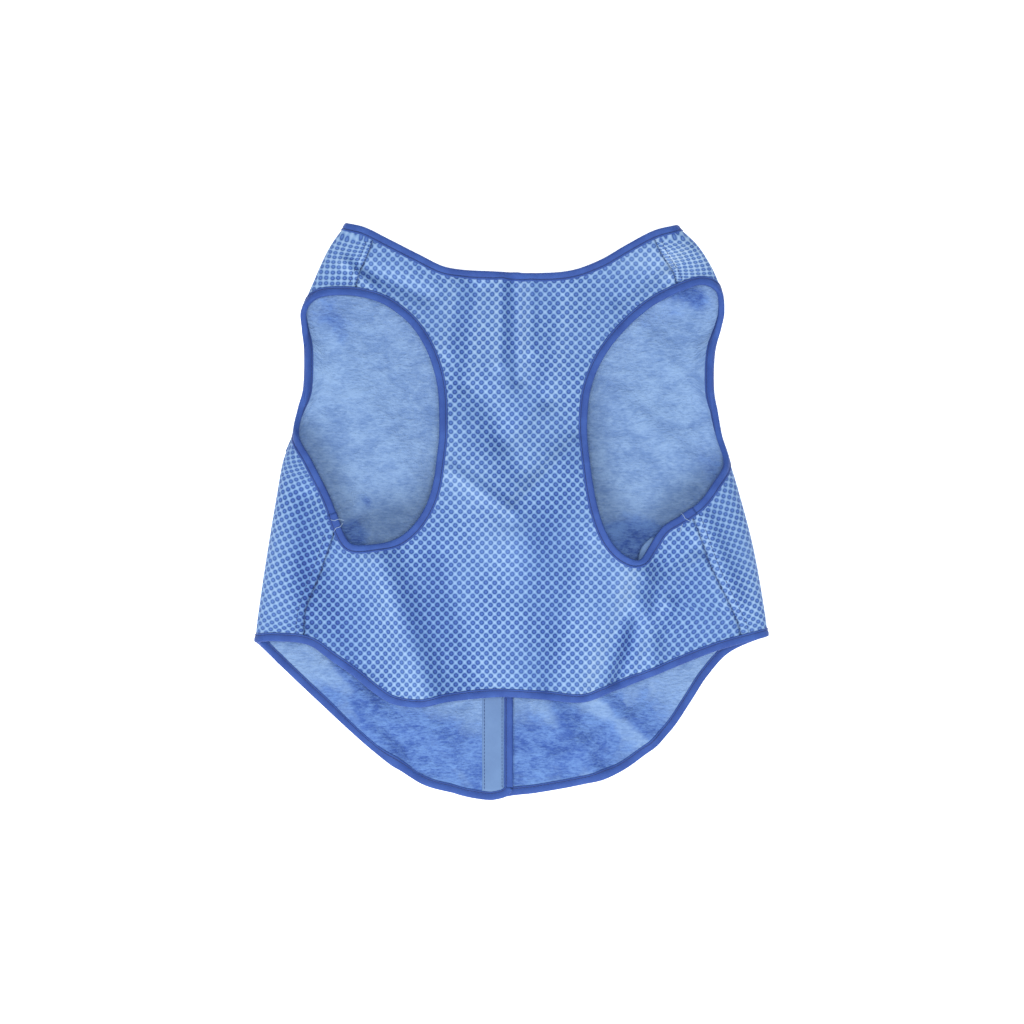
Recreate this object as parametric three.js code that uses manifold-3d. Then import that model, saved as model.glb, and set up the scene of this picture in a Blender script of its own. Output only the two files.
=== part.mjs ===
// Cooling vest for a dog, lying on its back with the belly panel up and its fastened back underneath.
// Millimetres, +X to the right, +Y to the neck, +Z up. The vest rests on z = 0.

import * as THREE from "three";
import { mergeVertices } from "three/addons/utils/BufferGeometryUtils.js";
import Module from "manifold-3d";

const wasm = await Module();
wasm.setup();

// Driving dimensions
const vestLength = 463.4; // shoulder tips to the lowest point of the back hem
const hemWidth = 410.8; // across both side folds at the hem
const foldHeight = 12; // height of the side fold line
const foldReach = 18; // how far a closed side fold rolls in under the vest
const lipReach = 32; // how far the open edge at a leg hole rises from the flat back
const clothThickness = 1.1;
const liningThickness = 1.1;
const clearance = 0.3; // between pieces that lie on each other
const seamGap = 0.7; // between the belly panel and a back panel
const bindingWidth = 7.1;
const bindingThickness = 0.8;
const rightEdgeX = -30; // edge of the right back panel, hidden under the left one
const leftEdgeX = 1; // visible edge of the left back panel
const rampWidth = 16; // where the left back panel climbs over the right one
const rampGap = 1; // from the end of that climb to the right panel's edge
const facingWidth = 17.4;
const tapeWidth = 15;

// Sizes that follow from them
const halfHem = hemWidth / 2;
const wallThickness = clothThickness + clearance + liningThickness;
const bindingReach = bindingThickness + clearance; // from the cloth to the outside of its binding
const lift = bindingReach; // the cloth lies this high, with its binding on the floor
const edgeInset = bindingWidth * 0.4; // from the outside of a binding to the cloth inside it
const holeInset = bindingWidth * 0.6; // the same round a leg hole, where the cloth turns more
const overlapRise = wallThickness + bindingReach + clearance + bindingReach;

// Cross sections from the shoulder tips down. Left and right are shares of half the hem's width,
// crown is the height of the belly panel as a share of the hem's width, and lip is 1 where the
// side is the open edge of a leg hole instead of a closed fold.
const sections = [
  { down: 0.0, left: 0.642, right: 0.63, crown: 0.062, lip: 0 },
  { down: 0.043, left: 0.711, right: 0.732, crown: 0.066, lip: 0 },
  { down: 0.109, left: 0.78, right: 0.812, crown: 0.07, lip: 0 },
  { down: 0.154, left: 0.818, right: 0.825, crown: 0.075, lip: 0 },
  { down: 0.18, left: 0.816, right: 0.815, crown: 0.078, lip: 0 },
  { down: 0.226, left: 0.811, right: 0.794, crown: 0.084, lip: 0.9 },
  { down: 0.287, left: 0.815, right: 0.79, crown: 0.091, lip: 0.9 },
  { down: 0.325, left: 0.832, right: 0.8, crown: 0.095, lip: 0.1 },
  { down: 0.34, left: 0.84, right: 0.805, crown: 0.0965, lip: 0 },
  { down: 0.373, left: 0.857, right: 0.818, crown: 0.1, lip: 0 },
  { down: 0.411, left: 0.891, right: 0.848, crown: 0.105, lip: 0 },
  { down: 0.468, left: 0.915, right: 0.887, crown: 0.109, lip: 0 },
  { down: 0.558, left: 0.949, right: 0.94, crown: 0.107, lip: 0 },
  { down: 0.654, left: 0.982, right: 0.98, crown: 0.096, lip: 0 },
  { down: 0.725, left: 1.0, right: 1.0, crown: 0.084, lip: 0 },
  { down: 0.85, left: 1.0, right: 1.0, crown: 0.07, lip: 0 },
  { down: 1.0, left: 1.0, right: 1.0, crown: 0.064, lip: 0 },
];

// Edge lines. Across is a share of half the hem's width and down a share of the vest's length.
const frontNeck = [
  { across: -0.642, down: 0.001 },
  { across: -0.572, down: 0.009 },
  { across: -0.482, down: 0.029 },
  { across: -0.363, down: 0.056 },
  { across: -0.25, down: 0.079 },
  { across: -0.05, down: 0.0865 },
  { across: 0.093, down: 0.089 },
  { across: 0.232, down: 0.084 },
  { across: 0.344, down: 0.066 },
  { across: 0.441, down: 0.041 },
  { across: 0.552, down: 0.015 },
  { across: 0.64, down: 0.0045 },
];
const backNeck = [
  { across: -0.642, down: 0.001 },
  { across: -0.56, down: 0.02 },
  { across: -0.45, down: 0.049 },
  { across: -0.3, down: 0.084 },
  { across: -0.15, down: 0.104 },
  { across: 0.0, down: 0.11 },
  { across: 0.15, down: 0.105 },
  { across: 0.3, down: 0.086 },
  { across: 0.45, down: 0.053 },
  { across: 0.56, down: 0.024 },
  { across: 0.64, down: 0.0045 },
];
const frontHem = [
  { across: -1.0, down: 0.726 },
  { across: -0.923, down: 0.7235 },
  { across: -0.79, down: 0.73 },
  { across: -0.704, down: 0.756 },
  { across: -0.619, down: 0.7825 },
  { across: -0.535, down: 0.8125 },
  { across: -0.467, down: 0.831 },
  { across: -0.36, down: 0.837 },
  { across: -0.25, down: 0.828 },
  { across: -0.05, down: 0.8195 },
  { across: 0.123, down: 0.8236 },
  { across: 0.271, down: 0.829 },
  { across: 0.377, down: 0.8125 },
  { across: 0.545, down: 0.784 },
  { across: 0.8, down: 0.7395 },
  { across: 1.0, down: 0.7155 },
];
const backHem = [
  { across: -1.0, down: 0.726 },
  { across: -0.932, down: 0.756 },
  { across: -0.78, down: 0.82 },
  { across: -0.585, down: 0.899 },
  { across: -0.467, down: 0.939 },
  { across: -0.357, down: 0.972 },
  { across: -0.248, down: 0.9865 },
  { across: -0.09, down: 1.0 },
  { across: 0.0, down: 0.993 },
  { across: 0.1, down: 0.988 },
  { across: 0.309, down: 0.97 },
  { across: 0.428, down: 0.951 },
  { across: 0.545, down: 0.913 },
  { across: 0.63, down: 0.876 },
  { across: 0.7, down: 0.83 },
  { across: 0.764, down: 0.786 },
  { across: 0.85, down: 0.745 },
  { across: 1.0, down: 0.7155 },
];

// Leg holes, round their bound edge. A row past the side fold runs along the fold's own edge.
const legHoleLeft = [
  { across: -0.79, down: 0.147 },
  { across: -0.735, down: 0.13 },
  { across: -0.66, down: 0.1265 },
  { across: -0.566, down: 0.131 },
  { across: -0.48, down: 0.145 },
  { across: -0.395, down: 0.175 },
  { across: -0.33, down: 0.22 },
  { across: -0.292, down: 0.27 },
  { across: -0.28, down: 0.34 },
  { across: -0.288, down: 0.405 },
  { across: -0.308, down: 0.465 },
  { across: -0.35, down: 0.508 },
  { across: -0.41, down: 0.538 },
  { across: -0.48, down: 0.552 },
  { across: -0.632, down: 0.554 },
  { across: -0.657, down: 0.54 },
  { across: -0.68, down: 0.495 },
  { across: -0.742, down: 0.439 },
  { across: -0.8, down: 0.376 },
  { across: -0.87, down: 0.33 },
  { across: -0.88, down: 0.25 },
  { across: -0.87, down: 0.18 },
];
const legHoleRight = [
  { across: 0.845, down: 0.16 },
  { across: 0.815, down: 0.135 },
  { across: 0.785, down: 0.118 },
  { across: 0.735, down: 0.1085 },
  { across: 0.664, down: 0.117 },
  { across: 0.53, down: 0.149 },
  { across: 0.426, down: 0.193 },
  { across: 0.345, down: 0.242 },
  { across: 0.3, down: 0.295 },
  { across: 0.292, down: 0.36 },
  { across: 0.308, down: 0.435 },
  { across: 0.338, down: 0.505 },
  { across: 0.385, down: 0.557 },
  { across: 0.441, down: 0.577 },
  { across: 0.505, down: 0.582 },
  { across: 0.532, down: 0.56 },
  { across: 0.566, down: 0.529 },
  { across: 0.65, down: 0.506 },
  { across: 0.733, down: 0.479 },
  { across: 0.79, down: 0.436 },
  { across: 0.822, down: 0.408 },
  { across: 0.828, down: 0.385 },
  { across: 0.85, down: 0.35 },
  { across: 0.88, down: 0.28 },
  { across: 0.87, down: 0.2 },
];

// Seams between the belly panel and the back panels: the shoulder, the open leg hole, the side.
const seams = [
  { down: -0.05, left: -0.53, right: 0.53 },
  { down: 0.034, left: -0.544, right: 0.56 },
  { down: 0.109, left: -0.607, right: 0.646 },
  { down: 0.2, left: -0.6, right: 0.62 },
  { down: 0.45, left: -0.62, right: 0.62 },
  { down: 0.51, left: -0.675, right: 0.7 },
  { down: 0.5456, left: -0.696, right: 0.731 },
  { down: 0.6, left: -0.742, right: 0.778 },
  { down: 0.666, left: -0.797, right: 0.852 },
  { down: 0.7, left: -0.806, right: 0.886 },
  { down: 0.9, left: -0.83, right: 0.95 },
];

// Soft folds of the belly panel: a ridge where rise is above zero and a valley where it is below.
const folds = [
  { across: -0.56, down: 0.64, toAcross: -0.45, toDown: 0.76, rise: 5, width: 17 },
  { across: -0.4, down: 0.62, toAcross: -0.3, toDown: 0.76, rise: -5, width: 16 },
  { across: -0.22, down: 0.58, toAcross: -0.16, toDown: 0.75, rise: 4, width: 18 },
  { across: 0.42, down: 0.66, toAcross: 0.3, toDown: 0.76, rise: 6, width: 17 },
  { across: 0.62, down: 0.62, toAcross: 0.5, toDown: 0.72, rise: -4, width: 16 },
  { across: -0.09, down: 0.17, toAcross: -0.12, toDown: 0.45, rise: 3.5, width: 15 },
  { across: 0.03, down: 0.18, toAcross: 0.0, toDown: 0.5, rise: -4, width: 15 },
  { across: 0.15, down: 0.17, toAcross: 0.13, toDown: 0.42, rise: 3.5, width: 15 },
  { across: 0.07, down: 0.62, toAcross: 0.08, toDown: 0.74, rise: -4, width: 22 },
];

// Places along a section: 0 is the middle of the belly panel, 1 the side fold, 2 where the back
// turns flat, and 5 the fastened edge. On the left 3 and 4 bound the climb over the right panel.
const foldLine = 1;
const flatLine = 2;
const rampStart = 3;
const rampEnd = 4;
const closureLine = 5;
const bellyLines = [0, 0.05, 0.1, 0.16, 0.22, 0.28, 0.35, 0.43, 0.51];
const sideLines = [0.28, 0.35, 0.43, 0.51, 0.6, 0.7, 0.8, 0.9, 1, 1.33, 1.66, 2];
const leftRampLines = [3, 3.25, 3.5, 3.75, 4];
const leftFlatPlaces = [2.2, 2.4, 2.7];
const rightFlatPlaces = [2.4, 2.9, 3.4, 4.2, 5];
const gridRows = 14;
const holeSteps = 35;
const fineSteps = 10;
const closureSteps = 6;
const domainScale = 100; // widens the flat pattern in which the cuts are made
const cutterDepth = 9;

// Small tools
const mix = (a, b, t) => a + (b - a) * t;
const clamp = (v, low, high) => Math.min(high, Math.max(low, v));
const smooth = (t) => clamp(t, 0, 1) ** 2 * (3 - 2 * clamp(t, 0, 1));
const yAt = (down) => vestLength * (0.5 - down);
const downAt = (y) => 0.5 - y / vestLength;

// A smooth curve through one column of a table, held level past both ends
function along(rows, key, column, at) {
  const last = rows.length - 1;
  if (at <= rows[0][key]) return rows[0][column];
  if (at >= rows[last][key]) return rows[last][column];
  const i = rows.findIndex((row) => row[key] > at) - 1;
  const slope = (k) => {
    const a = rows[Math.max(0, k - 1)];
    const b = rows[Math.min(last, k + 1)];
    return (b[column] - a[column]) / (b[key] - a[key]);
  };
  const span = rows[i + 1][key] - rows[i][key];
  const t = (at - rows[i][key]) / span;
  const startWeight = 2 * t ** 3 - 3 * t ** 2 + 1;
  const startSlope = (t ** 3 - 2 * t ** 2 + t) * span * slope(i);
  const endSlope = (t ** 3 - t ** 2) * span * slope(i + 1);
  return startWeight * rows[i][column] + (1 - startWeight) * rows[i + 1][column] + startSlope + endSlope;
}

function sectionAt(y, side) {
  const down = downAt(y);
  const lip = along(sections, "down", "lip", down);
  return {
    reach: halfHem * along(sections, "down", side < 0 ? "left" : "right", down),
    crown: hemWidth * along(sections, "down", "crown", down),
    roll: mix(foldReach, lipReach, lip),
    lip,
  };
}

// Height of the belly panel's soft folds over one spot
function foldRise(x, y) {
  let rise = 0;
  for (const fold of folds) {
    const start = new THREE.Vector2(fold.across * halfHem, yAt(fold.down));
    const run = new THREE.Vector2(fold.toAcross * halfHem, yAt(fold.toDown)).sub(start);
    const offset = new THREE.Vector2(x, y).sub(start);
    const share = clamp(offset.dot(run) / run.lengthSq(), 0, 1);
    const distance = offset.sub(run.multiplyScalar(share)).length();
    rise += fold.rise * Math.exp(-((distance / fold.width) ** 2));
  }
  return rise;
}

// The outside of the cloth at place w along the section at y
function outside(w, y) {
  const side = w < 0 ? -1 : 1;
  const place = Math.abs(w);
  const { reach, crown, roll, lip } = sectionAt(y, side);
  if (place <= foldLine) {
    const angle = (1 - (1 - place) ** 2) * Math.PI / 2;
    const x = side * reach * Math.sin(angle);
    const rise = (crown - foldHeight) * Math.sqrt(Math.max(0, Math.cos(angle)));
    return new THREE.Vector3(x, y, foldHeight + rise + foldRise(x, y) * smooth((1 - place) / 0.5));
  }
  if (place <= flatLine) {
    const t = place - foldLine;
    const angle = t * Math.PI / 2;
    const inward = mix(1 - Math.cos(angle), t, lip);
    const height = mix(1 - Math.sin(angle), (1 - t) ** 2, lip);
    return new THREE.Vector3(side * (reach - roll * inward), y, lift + (foldHeight - lift) * height);
  }
  const flatX = side * (reach - roll);
  if (side > 0) {
    const t = (place - flatLine) / (closureLine - flatLine);
    return new THREE.Vector3(mix(flatX, rightEdgeX, t), y, lift);
  }
  const rampEndX = rightEdgeX - rampGap;
  const rampStartX = rampEndX - rampWidth;
  if (place <= rampStart) {
    return new THREE.Vector3(mix(flatX, rampStartX, place - flatLine), y, lift);
  }
  if (place <= rampEnd) {
    const t = place - rampStart;
    return new THREE.Vector3(mix(rampStartX, rampEndX, t), y, lift + overlapRise * smooth(t));
  }
  const t = place - rampEnd;
  return new THREE.Vector3(mix(rampEndX, leftEdgeX, t), y, lift + overlapRise);
}

// Directions across and along the cloth. At a leg hole's lip only the back side of the edge counts.
function directions(w, y) {
  const step = 0.01;
  const side = w < 0 ? -1 : 1;
  const place = Math.abs(w);
  const low = place >= foldLine ? Math.max(foldLine, place - step) : Math.max(-step, place - step);
  const high = place >= foldLine ? place + step : Math.min(foldLine, place + step);
  const across = outside(side * high, y).sub(outside(side * low, y)).multiplyScalar(side / (high - low));
  const along = outside(w, y + 1).sub(outside(w, y - 1)).multiplyScalar(0.5);
  return { across, along };
}

function inwardNormal(w, y) {
  const { across, along } = directions(w, y);
  return along.cross(across).normalize();
}

// A point of the wall, depth millimetres in from its outside
function wallPoint(w, y, depth) {
  return outside(w, y).addScaledVector(inwardNormal(w, y), depth);
}

// The place on the section whose belly side lies at x
function placeOf(x, y) {
  const side = x < 0 ? -1 : 1;
  const share = clamp(Math.abs(x) / sectionAt(y, side).reach, 0, 1);
  return side * (1 - Math.sqrt(1 - Math.asin(share) * 2 / Math.PI));
}

// Walks over the cloth from one spot in a chosen direction
function walk(spot, direction, distance) {
  const stride = 0.5;
  const count = Math.max(1, Math.round(Math.abs(distance) / stride));
  const length = distance / count;
  let { w, y } = spot;
  let heading = direction.clone();
  for (let i = 0; i < count; i += 1) {
    const { across, along } = directions(w, y);
    const aa = across.dot(across);
    const ab = across.dot(along);
    const bb = along.dot(along);
    const a = across.dot(heading);
    const b = along.dot(heading);
    const scale = aa * bb - ab * ab;
    const from = outside(w, y);
    w += length * (a * bb - b * ab) / scale;
    y += length * (b * aa - a * ab) / scale;
    heading = outside(w, y).sub(from).multiplyScalar(1 / length).normalize();
  }
  return { w, y };
}

// A spot on an edge line at place w, where the line's y depends on x and x on y
function edgeSpot(rows, w) {
  let y = yAt(rows[0].down);
  for (let i = 0; i < 30; i += 1) {
    y = yAt(along(rows, "across", "down", outside(w, y).x / halfHem));
  }
  return { w, y };
}

// Places along the whole unrolled garment, from the right closure edge round to the left one
const wrapLines = [...new Set([...bellyLines, ...sideLines])];

function edgePath(frontEdge, backEdge) {
  const right = [...wrapLines.slice(1), ...rightFlatPlaces].reverse();
  const left = [...wrapLines, ...leftFlatPlaces, ...leftRampLines, closureLine].map((w) => -w);
  return [...right, ...left].map((w) => edgeSpot(Math.abs(w) > foldLine ? backEdge : frontEdge, w));
}

// Each spot of a closed path with its place averaged over its neighbours
function eased(path, reach) {
  const count = path.length;
  return path.map((spot, i) => {
    let sum = 0;
    for (let k = -reach; k <= reach; k += 1) sum += path[(i + k + count) % count].w;
    return { w: sum / (2 * reach + 1), y: spot.y };
  });
}

// A leg hole's edge, kept on the side fold where its table runs past it, eased so that it leaves
// the fold gently, and evenly stepped as it climbs over the cloth
function holePath(rows) {
  const points = rows.map((row) => new THREE.Vector3(row.across * halfHem, yAt(row.down), 0));
  const curve = new THREE.CatmullRomCurve3(points, true, "centripetal");
  const plan = curve.getSpacedPoints(holeSteps * fineSteps).slice(0, -1);
  const fine = eased(eased(plan.map((p) => ({ w: placeOf(p.x, p.y), y: p.y })), fineSteps), fineSteps);
  const places = fine.map((spot) => outside(spot.w, spot.y));
  const lengths = [0];
  for (let i = 1; i < places.length; i += 1) {
    lengths.push(lengths[i - 1] + places[i].distanceTo(places[i - 1]));
  }
  const stride = (lengths[lengths.length - 1] + places[0].distanceTo(places[places.length - 1])) / holeSteps;
  return Array.from({ length: holeSteps }, (_, k) => fine[lengths.findIndex((l) => l >= k * stride)]);
}

// For each spot of a path, the direction over the cloth away from its edge. The sign tells on
// which side of the path the cloth lies.
function clothDirections(path, closed, sign) {
  const points = path.map((spot) => outside(spot.w, spot.y));
  const last = path.length - 1;
  return path.map((spot, i) => {
    const before = closed ? points[(i + last) % (last + 1)] : points[Math.max(0, i - 1)];
    const after = closed ? points[(i + 1) % (last + 1)] : points[Math.min(last, i + 1)];
    const tangent = after.clone().sub(before).normalize();
    return inwardNormal(spot.w, spot.y).cross(tangent).multiplyScalar(sign).normalize();
  });
}

function insetPath(path, closed, sign, distance) {
  const headings = clothDirections(path, closed, sign);
  return path.map((spot, i) => walk(spot, headings[i], distance));
}

// Solids

function signedVolume(positions, triangles) {
  let volume = 0;
  const [a, b, c] = [new THREE.Vector3(), new THREE.Vector3(), new THREE.Vector3()];
  for (let i = 0; i < triangles.length; i += 3) {
    a.fromArray(positions, 3 * triangles[i]);
    b.fromArray(positions, 3 * triangles[i + 1]);
    c.fromArray(positions, 3 * triangles[i + 2]);
    volume += a.dot(b.cross(c)) / 6;
  }
  return volume;
}

function closedGeometry(positions, triangles) {
  const index = Array.from(triangles);
  if (signedVolume(positions, index) < 0) index.reverse();
  const geometry = new THREE.BufferGeometry();
  geometry.setAttribute("position", new THREE.Float32BufferAttribute(positions, 3));
  geometry.setIndex(index);
  geometry.computeVertexNormals();
  return geometry;
}

function solidOf(geometry) {
  const bare = geometry.clone();
  bare.deleteAttribute("normal");
  bare.deleteAttribute("uv");
  const merged = mergeVertices(bare);
  const vertProperties = new Float32Array(merged.attributes.position.array);
  const triVerts = new Uint32Array(merged.index.array);
  return new wasm.Manifold(new wasm.Mesh({ numProp: 3, vertProperties, triVerts }));
}

// The largest body of a cut solid, without the crumbs that a cut leaves beside it
function largestBody(solid) {
  const mesh = solid.getMesh();
  const owner = Array.from({ length: mesh.vertProperties.length / 3 }, (_, i) => i);
  const rootOf = (i) => {
    let root = i;
    while (owner[root] !== root) root = owner[root];
    owner[i] = root;
    return root;
  };
  for (let i = 0; i < mesh.triVerts.length; i += 3) {
    const root = rootOf(mesh.triVerts[i]);
    owner[rootOf(mesh.triVerts[i + 1])] = root;
    owner[rootOf(mesh.triVerts[i + 2])] = root;
  }
  const bodies = new Map();
  for (let i = 0; i < mesh.triVerts.length; i += 3) {
    const root = rootOf(mesh.triVerts[i]);
    if (!bodies.has(root)) bodies.set(root, []);
    bodies.get(root).push(...mesh.triVerts.slice(i, i + 3));
  }
  const largest = [...bodies.values()].sort((a, b) => b.length - a.length)[0];
  const used = [...new Set(largest)];
  const renumbered = new Map(used.map((vertex, i) => [vertex, i]));
  const positions = used.flatMap((vertex) => Array.from(mesh.vertProperties.slice(3 * vertex, 3 * vertex + 3)));
  return closedGeometry(positions, largest.map((vertex) => renumbered.get(vertex)));
}

// A straight cutter over an outline drawn on the flat pattern
function patternCutter(spots) {
  const shape = new THREE.Shape(spots.map((spot) => new THREE.Vector2(spot.w * domainScale, spot.y)));
  const geometry = new THREE.ExtrudeGeometry(shape, { depth: 2 * cutterDepth, bevelEnabled: false });
  geometry.translate(0, 0, -cutterDepth);
  return solidOf(geometry);
}

// A flat pattern between two depths of the wall, gridded so that it bends smoothly. Each triangle
// keeps its own face number, so the grid outlives the cuts.
function patternSlab(lines, yLines, outerDepth, innerDepth) {
  const vertices = [];
  const triangles = [];
  const columns = lines.length;
  const rows = yLines.length;
  for (const depth of [outerDepth, innerDepth]) {
    for (const y of yLines) {
      for (const w of lines) vertices.push(w * domainScale, y, depth);
    }
  }
  const at = (layer, row, column) => (layer * rows + row) * columns + column;
  const quad = (a, b, c, d) => triangles.push(a, b, c, a, c, d);
  for (let r = 0; r + 1 < rows; r += 1) {
    for (let c = 0; c + 1 < columns; c += 1) {
      quad(at(0, r, c), at(0, r + 1, c), at(0, r + 1, c + 1), at(0, r, c + 1));
      quad(at(1, r, c), at(1, r, c + 1), at(1, r + 1, c + 1), at(1, r + 1, c));
    }
    quad(at(0, r, 0), at(1, r, 0), at(1, r + 1, 0), at(0, r + 1, 0));
    quad(at(0, r, columns - 1), at(0, r + 1, columns - 1), at(1, r + 1, columns - 1), at(1, r, columns - 1));
  }
  for (let c = 0; c + 1 < columns; c += 1) {
    quad(at(0, 0, c), at(0, 0, c + 1), at(1, 0, c + 1), at(1, 0, c));
    quad(at(0, rows - 1, c), at(1, rows - 1, c), at(1, rows - 1, c + 1), at(0, rows - 1, c + 1));
  }
  const vertProperties = new Float32Array(vertices);
  const triVerts = new Uint32Array(triangles);
  const faceID = new Uint32Array(triangles.length / 3).map((_, i) => i);
  return new wasm.Manifold(new wasm.Mesh({ numProp: 3, vertProperties, triVerts, faceID }));
}

// The cut pattern, bent to the shape in which the vest lies
function bentGeometry(solid) {
  const mesh = solid.getMesh();
  const positions = [];
  for (let i = 0; i < mesh.vertProperties.length; i += mesh.numProp) {
    const [across, y, depth] = mesh.vertProperties.slice(i, i + 3);
    positions.push(...wallPoint(across / domainScale, y, depth).toArray());
  }
  return closedGeometry(positions, mesh.triVerts);
}

// A tape folded round a cloth edge: outer flap, web past the edge, inner flap. Growth thickens it
// on all sides, for the cutter that keeps the cloth clear of it.
function bindingGeometry(path, closed, sign, growth = 0) {
  const headings = clothDirections(path, closed, sign);
  const outerDepth = -bindingReach - growth;
  const innerDepth = wallThickness + bindingReach + growth;
  const outerFace = growth - clearance;
  const innerFace = wallThickness + clearance - growth;
  const profile = [
    [0, outerDepth],
    [bindingWidth / 2, outerDepth],
    [bindingWidth + growth, outerDepth],
    [bindingWidth + growth, outerFace],
    [bindingWidth / 2, outerFace],
    [bindingThickness + growth, outerFace],
    [bindingThickness + growth, innerFace],
    [bindingWidth / 2, innerFace],
    [bindingWidth + growth, innerFace],
    [bindingWidth + growth, innerDepth],
    [bindingWidth / 2, innerDepth],
    [0, innerDepth],
  ];
  const positions = [];
  const triangles = [];
  const count = profile.length;
  path.forEach((spot, i) => {
    for (const [reach, depth] of profile) {
      const place = reach > 0 ? walk(spot, headings[i], reach) : spot;
      positions.push(...wallPoint(place.w, place.y, depth).toArray());
    }
  });
  const rings = closed ? path.length : path.length - 1;
  for (let i = 0; i < rings; i += 1) {
    const next = (i + 1) % path.length;
    for (let k = 0; k < count; k += 1) {
      const other = (k + 1) % count;
      const [a, b] = [i * count + k, i * count + other];
      const [c, d] = [next * count + other, next * count + k];
      triangles.push(a, b, c, a, c, d);
    }
  }
  if (!closed) {
    const flat = profile.map(([reach, depth]) => new THREE.Vector2(reach, depth));
    const end = (path.length - 1) * count;
    const turned = THREE.ShapeUtils.area(flat) < 0;
    for (const [a, b, c] of THREE.ShapeUtils.triangulateShape(flat, [])) {
      triangles.push(...(turned ? [a, b, c] : [a, c, b]));
      triangles.push(...(turned ? [end + a, end + c, end + b] : [end + a, end + b, end + c]));
    }
  }
  return closedGeometry(positions, triangles);
}

// Edge lines of the whole garment on its flat pattern
const neckPath = edgePath(frontNeck, backNeck);
const hemPath = edgePath(frontHem, backHem);
const holePathLeft = holePath(legHoleLeft);
const holePathRight = holePath(legHoleRight);

// Which side of each path the cloth lies on
const neckSide = -1;
const hemSide = 1;
const holeSideLeft = -1;
const holeSideRight = 1;

const garmentCutter = patternCutter([
  ...insetPath(neckPath, false, neckSide, edgeInset),
  ...insetPath(hemPath, false, hemSide, edgeInset).reverse(),
]);
const holeCutterLeft = patternCutter(insetPath(holePathLeft, true, holeSideLeft, holeInset));
const holeCutterRight = patternCutter(insetPath(holePathRight, true, holeSideRight, holeInset));

// The belly panel's share of the pattern, widened or narrowed by half a seam gap
function bellyCutter(widening) {
  const side = (column, sign) => seams.map((row) => {
    const y = yAt(row.down);
    return { w: placeOf(halfHem * row[column] + sign * widening, y), y };
  });
  return patternCutter([...side("left", -1), ...side("right", 1).reverse()]);
}

// The bindings, slightly thickened, trim the faceted cloth where its facets would touch them
const bindingCutters = [
  solidOf(bindingGeometry(neckPath, false, neckSide, clearance / 3)),
  solidOf(bindingGeometry(hemPath, false, hemSide, clearance / 3)),
  solidOf(bindingGeometry(holePathLeft, true, holeSideLeft, clearance / 3)),
  solidOf(bindingGeometry(holePathRight, true, holeSideRight, clearance / 3)),
];

const yLines = Array.from({ length: gridRows + 1 }, (_, i) => yAt(mix(1.02, -0.02, i / gridRows)));

function panel(lines, outerDepth, innerDepth, isBelly) {
  const slab = patternSlab(lines, yLines, outerDepth, innerDepth);
  const cut = slab.intersect(garmentCutter).subtract(holeCutterLeft).subtract(holeCutterRight);
  const seam = bellyCutter((isBelly ? -1 : 1) * seamGap / 2);
  const bent = solidOf(bentGeometry(isBelly ? cut.intersect(seam) : cut.subtract(seam)));
  return largestBody(bindingCutters.reduce((solid, cutter) => solid.subtract(cutter), bent));
}

// The closure edge of a back panel, drawn back to leave room for its binding
function closureInset(side) {
  const spot = { w: side * closureLine, y: 0 };
  return Math.abs(walk(spot, new THREE.Vector3(side, 0, 0), edgeInset).w);
}

const bellyGrid = [...bellyLines.slice(1).reverse().map((w) => -w), ...bellyLines];
const rightGrid = [...sideLines, closureInset(1)];
const leftGrid = [...sideLines, ...leftRampLines, closureInset(-1)].map((w) => -w).reverse();

// The straight binding down a back panel's closure edge, between the neck and hem bindings
function closureBinding(side) {
  const w = side * closureLine;
  const top = edgeSpot(backNeck, w);
  const bottom = edgeSpot(backHem, w);
  const endGap = bindingWidth + 4 * clearance;
  const path = Array.from({ length: closureSteps + 1 }, (_, i) => {
    return { w, y: mix(top.y - endGap, bottom.y + endGap, i / closureSteps) };
  });
  return bindingGeometry(path, false, side);
}

// The smooth strip on the inner face of the left back panel, beside its binding
function facing() {
  const share = (x) => rampEnd + (x - rightEdgeX + rampGap) / (leftEdgeX - rightEdgeX + rampGap);
  const inner = leftEdgeX - bindingWidth - clearance;
  const lines = [-share(inner), -share(inner - facingWidth)];
  const endGap = bindingWidth + 4 * clearance;
  const top = edgeSpot(backNeck, -closureLine).y - endGap;
  const bottom = edgeSpot(backHem, -closureLine).y + endGap;
  const innerFace = wallThickness + clearance;
  const rows = Array.from({ length: closureSteps + 1 }, (_, i) => mix(bottom, top, i / closureSteps));
  return bentGeometry(patternSlab(lines, rows, innerFace, innerFace + bindingThickness));
}

// The fastening strip pressed between the two back panels
function closureTape() {
  const thickness = overlapRise - wallThickness - 2 * clearance;
  const endGap = bindingWidth + 4 * clearance;
  const top = edgeSpot(backNeck, -closureLine).y - endGap;
  const bottom = edgeSpot(backHem, -closureLine).y + endGap;
  const geometry = new THREE.BoxGeometry(tapeWidth, top - bottom, thickness);
  const x = (rightEdgeX + leftEdgeX) / 2;
  geometry.translate(x, (top + bottom) / 2, lift + wallThickness + clearance + thickness / 2);
  return geometry;
}

// Materials
const cloth = (color) => new THREE.MeshStandardMaterial({ color, roughness: 0.85, metalness: 0 });
const meshCloth = cloth(0x86b0ea);
const liningCloth = cloth(0x78a2da);
const bindingTape = cloth(0x4a6fbe);
const facingTape = cloth(0x84a8dc);
const fasteningTape = cloth(0x6a8fce);

// Pieces
const vest = new THREE.Group();

function addPiece(name, geometry, material) {
  const mesh = new THREE.Mesh(geometry, material.clone());
  mesh.name = name;
  vest.add(mesh);
}

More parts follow.
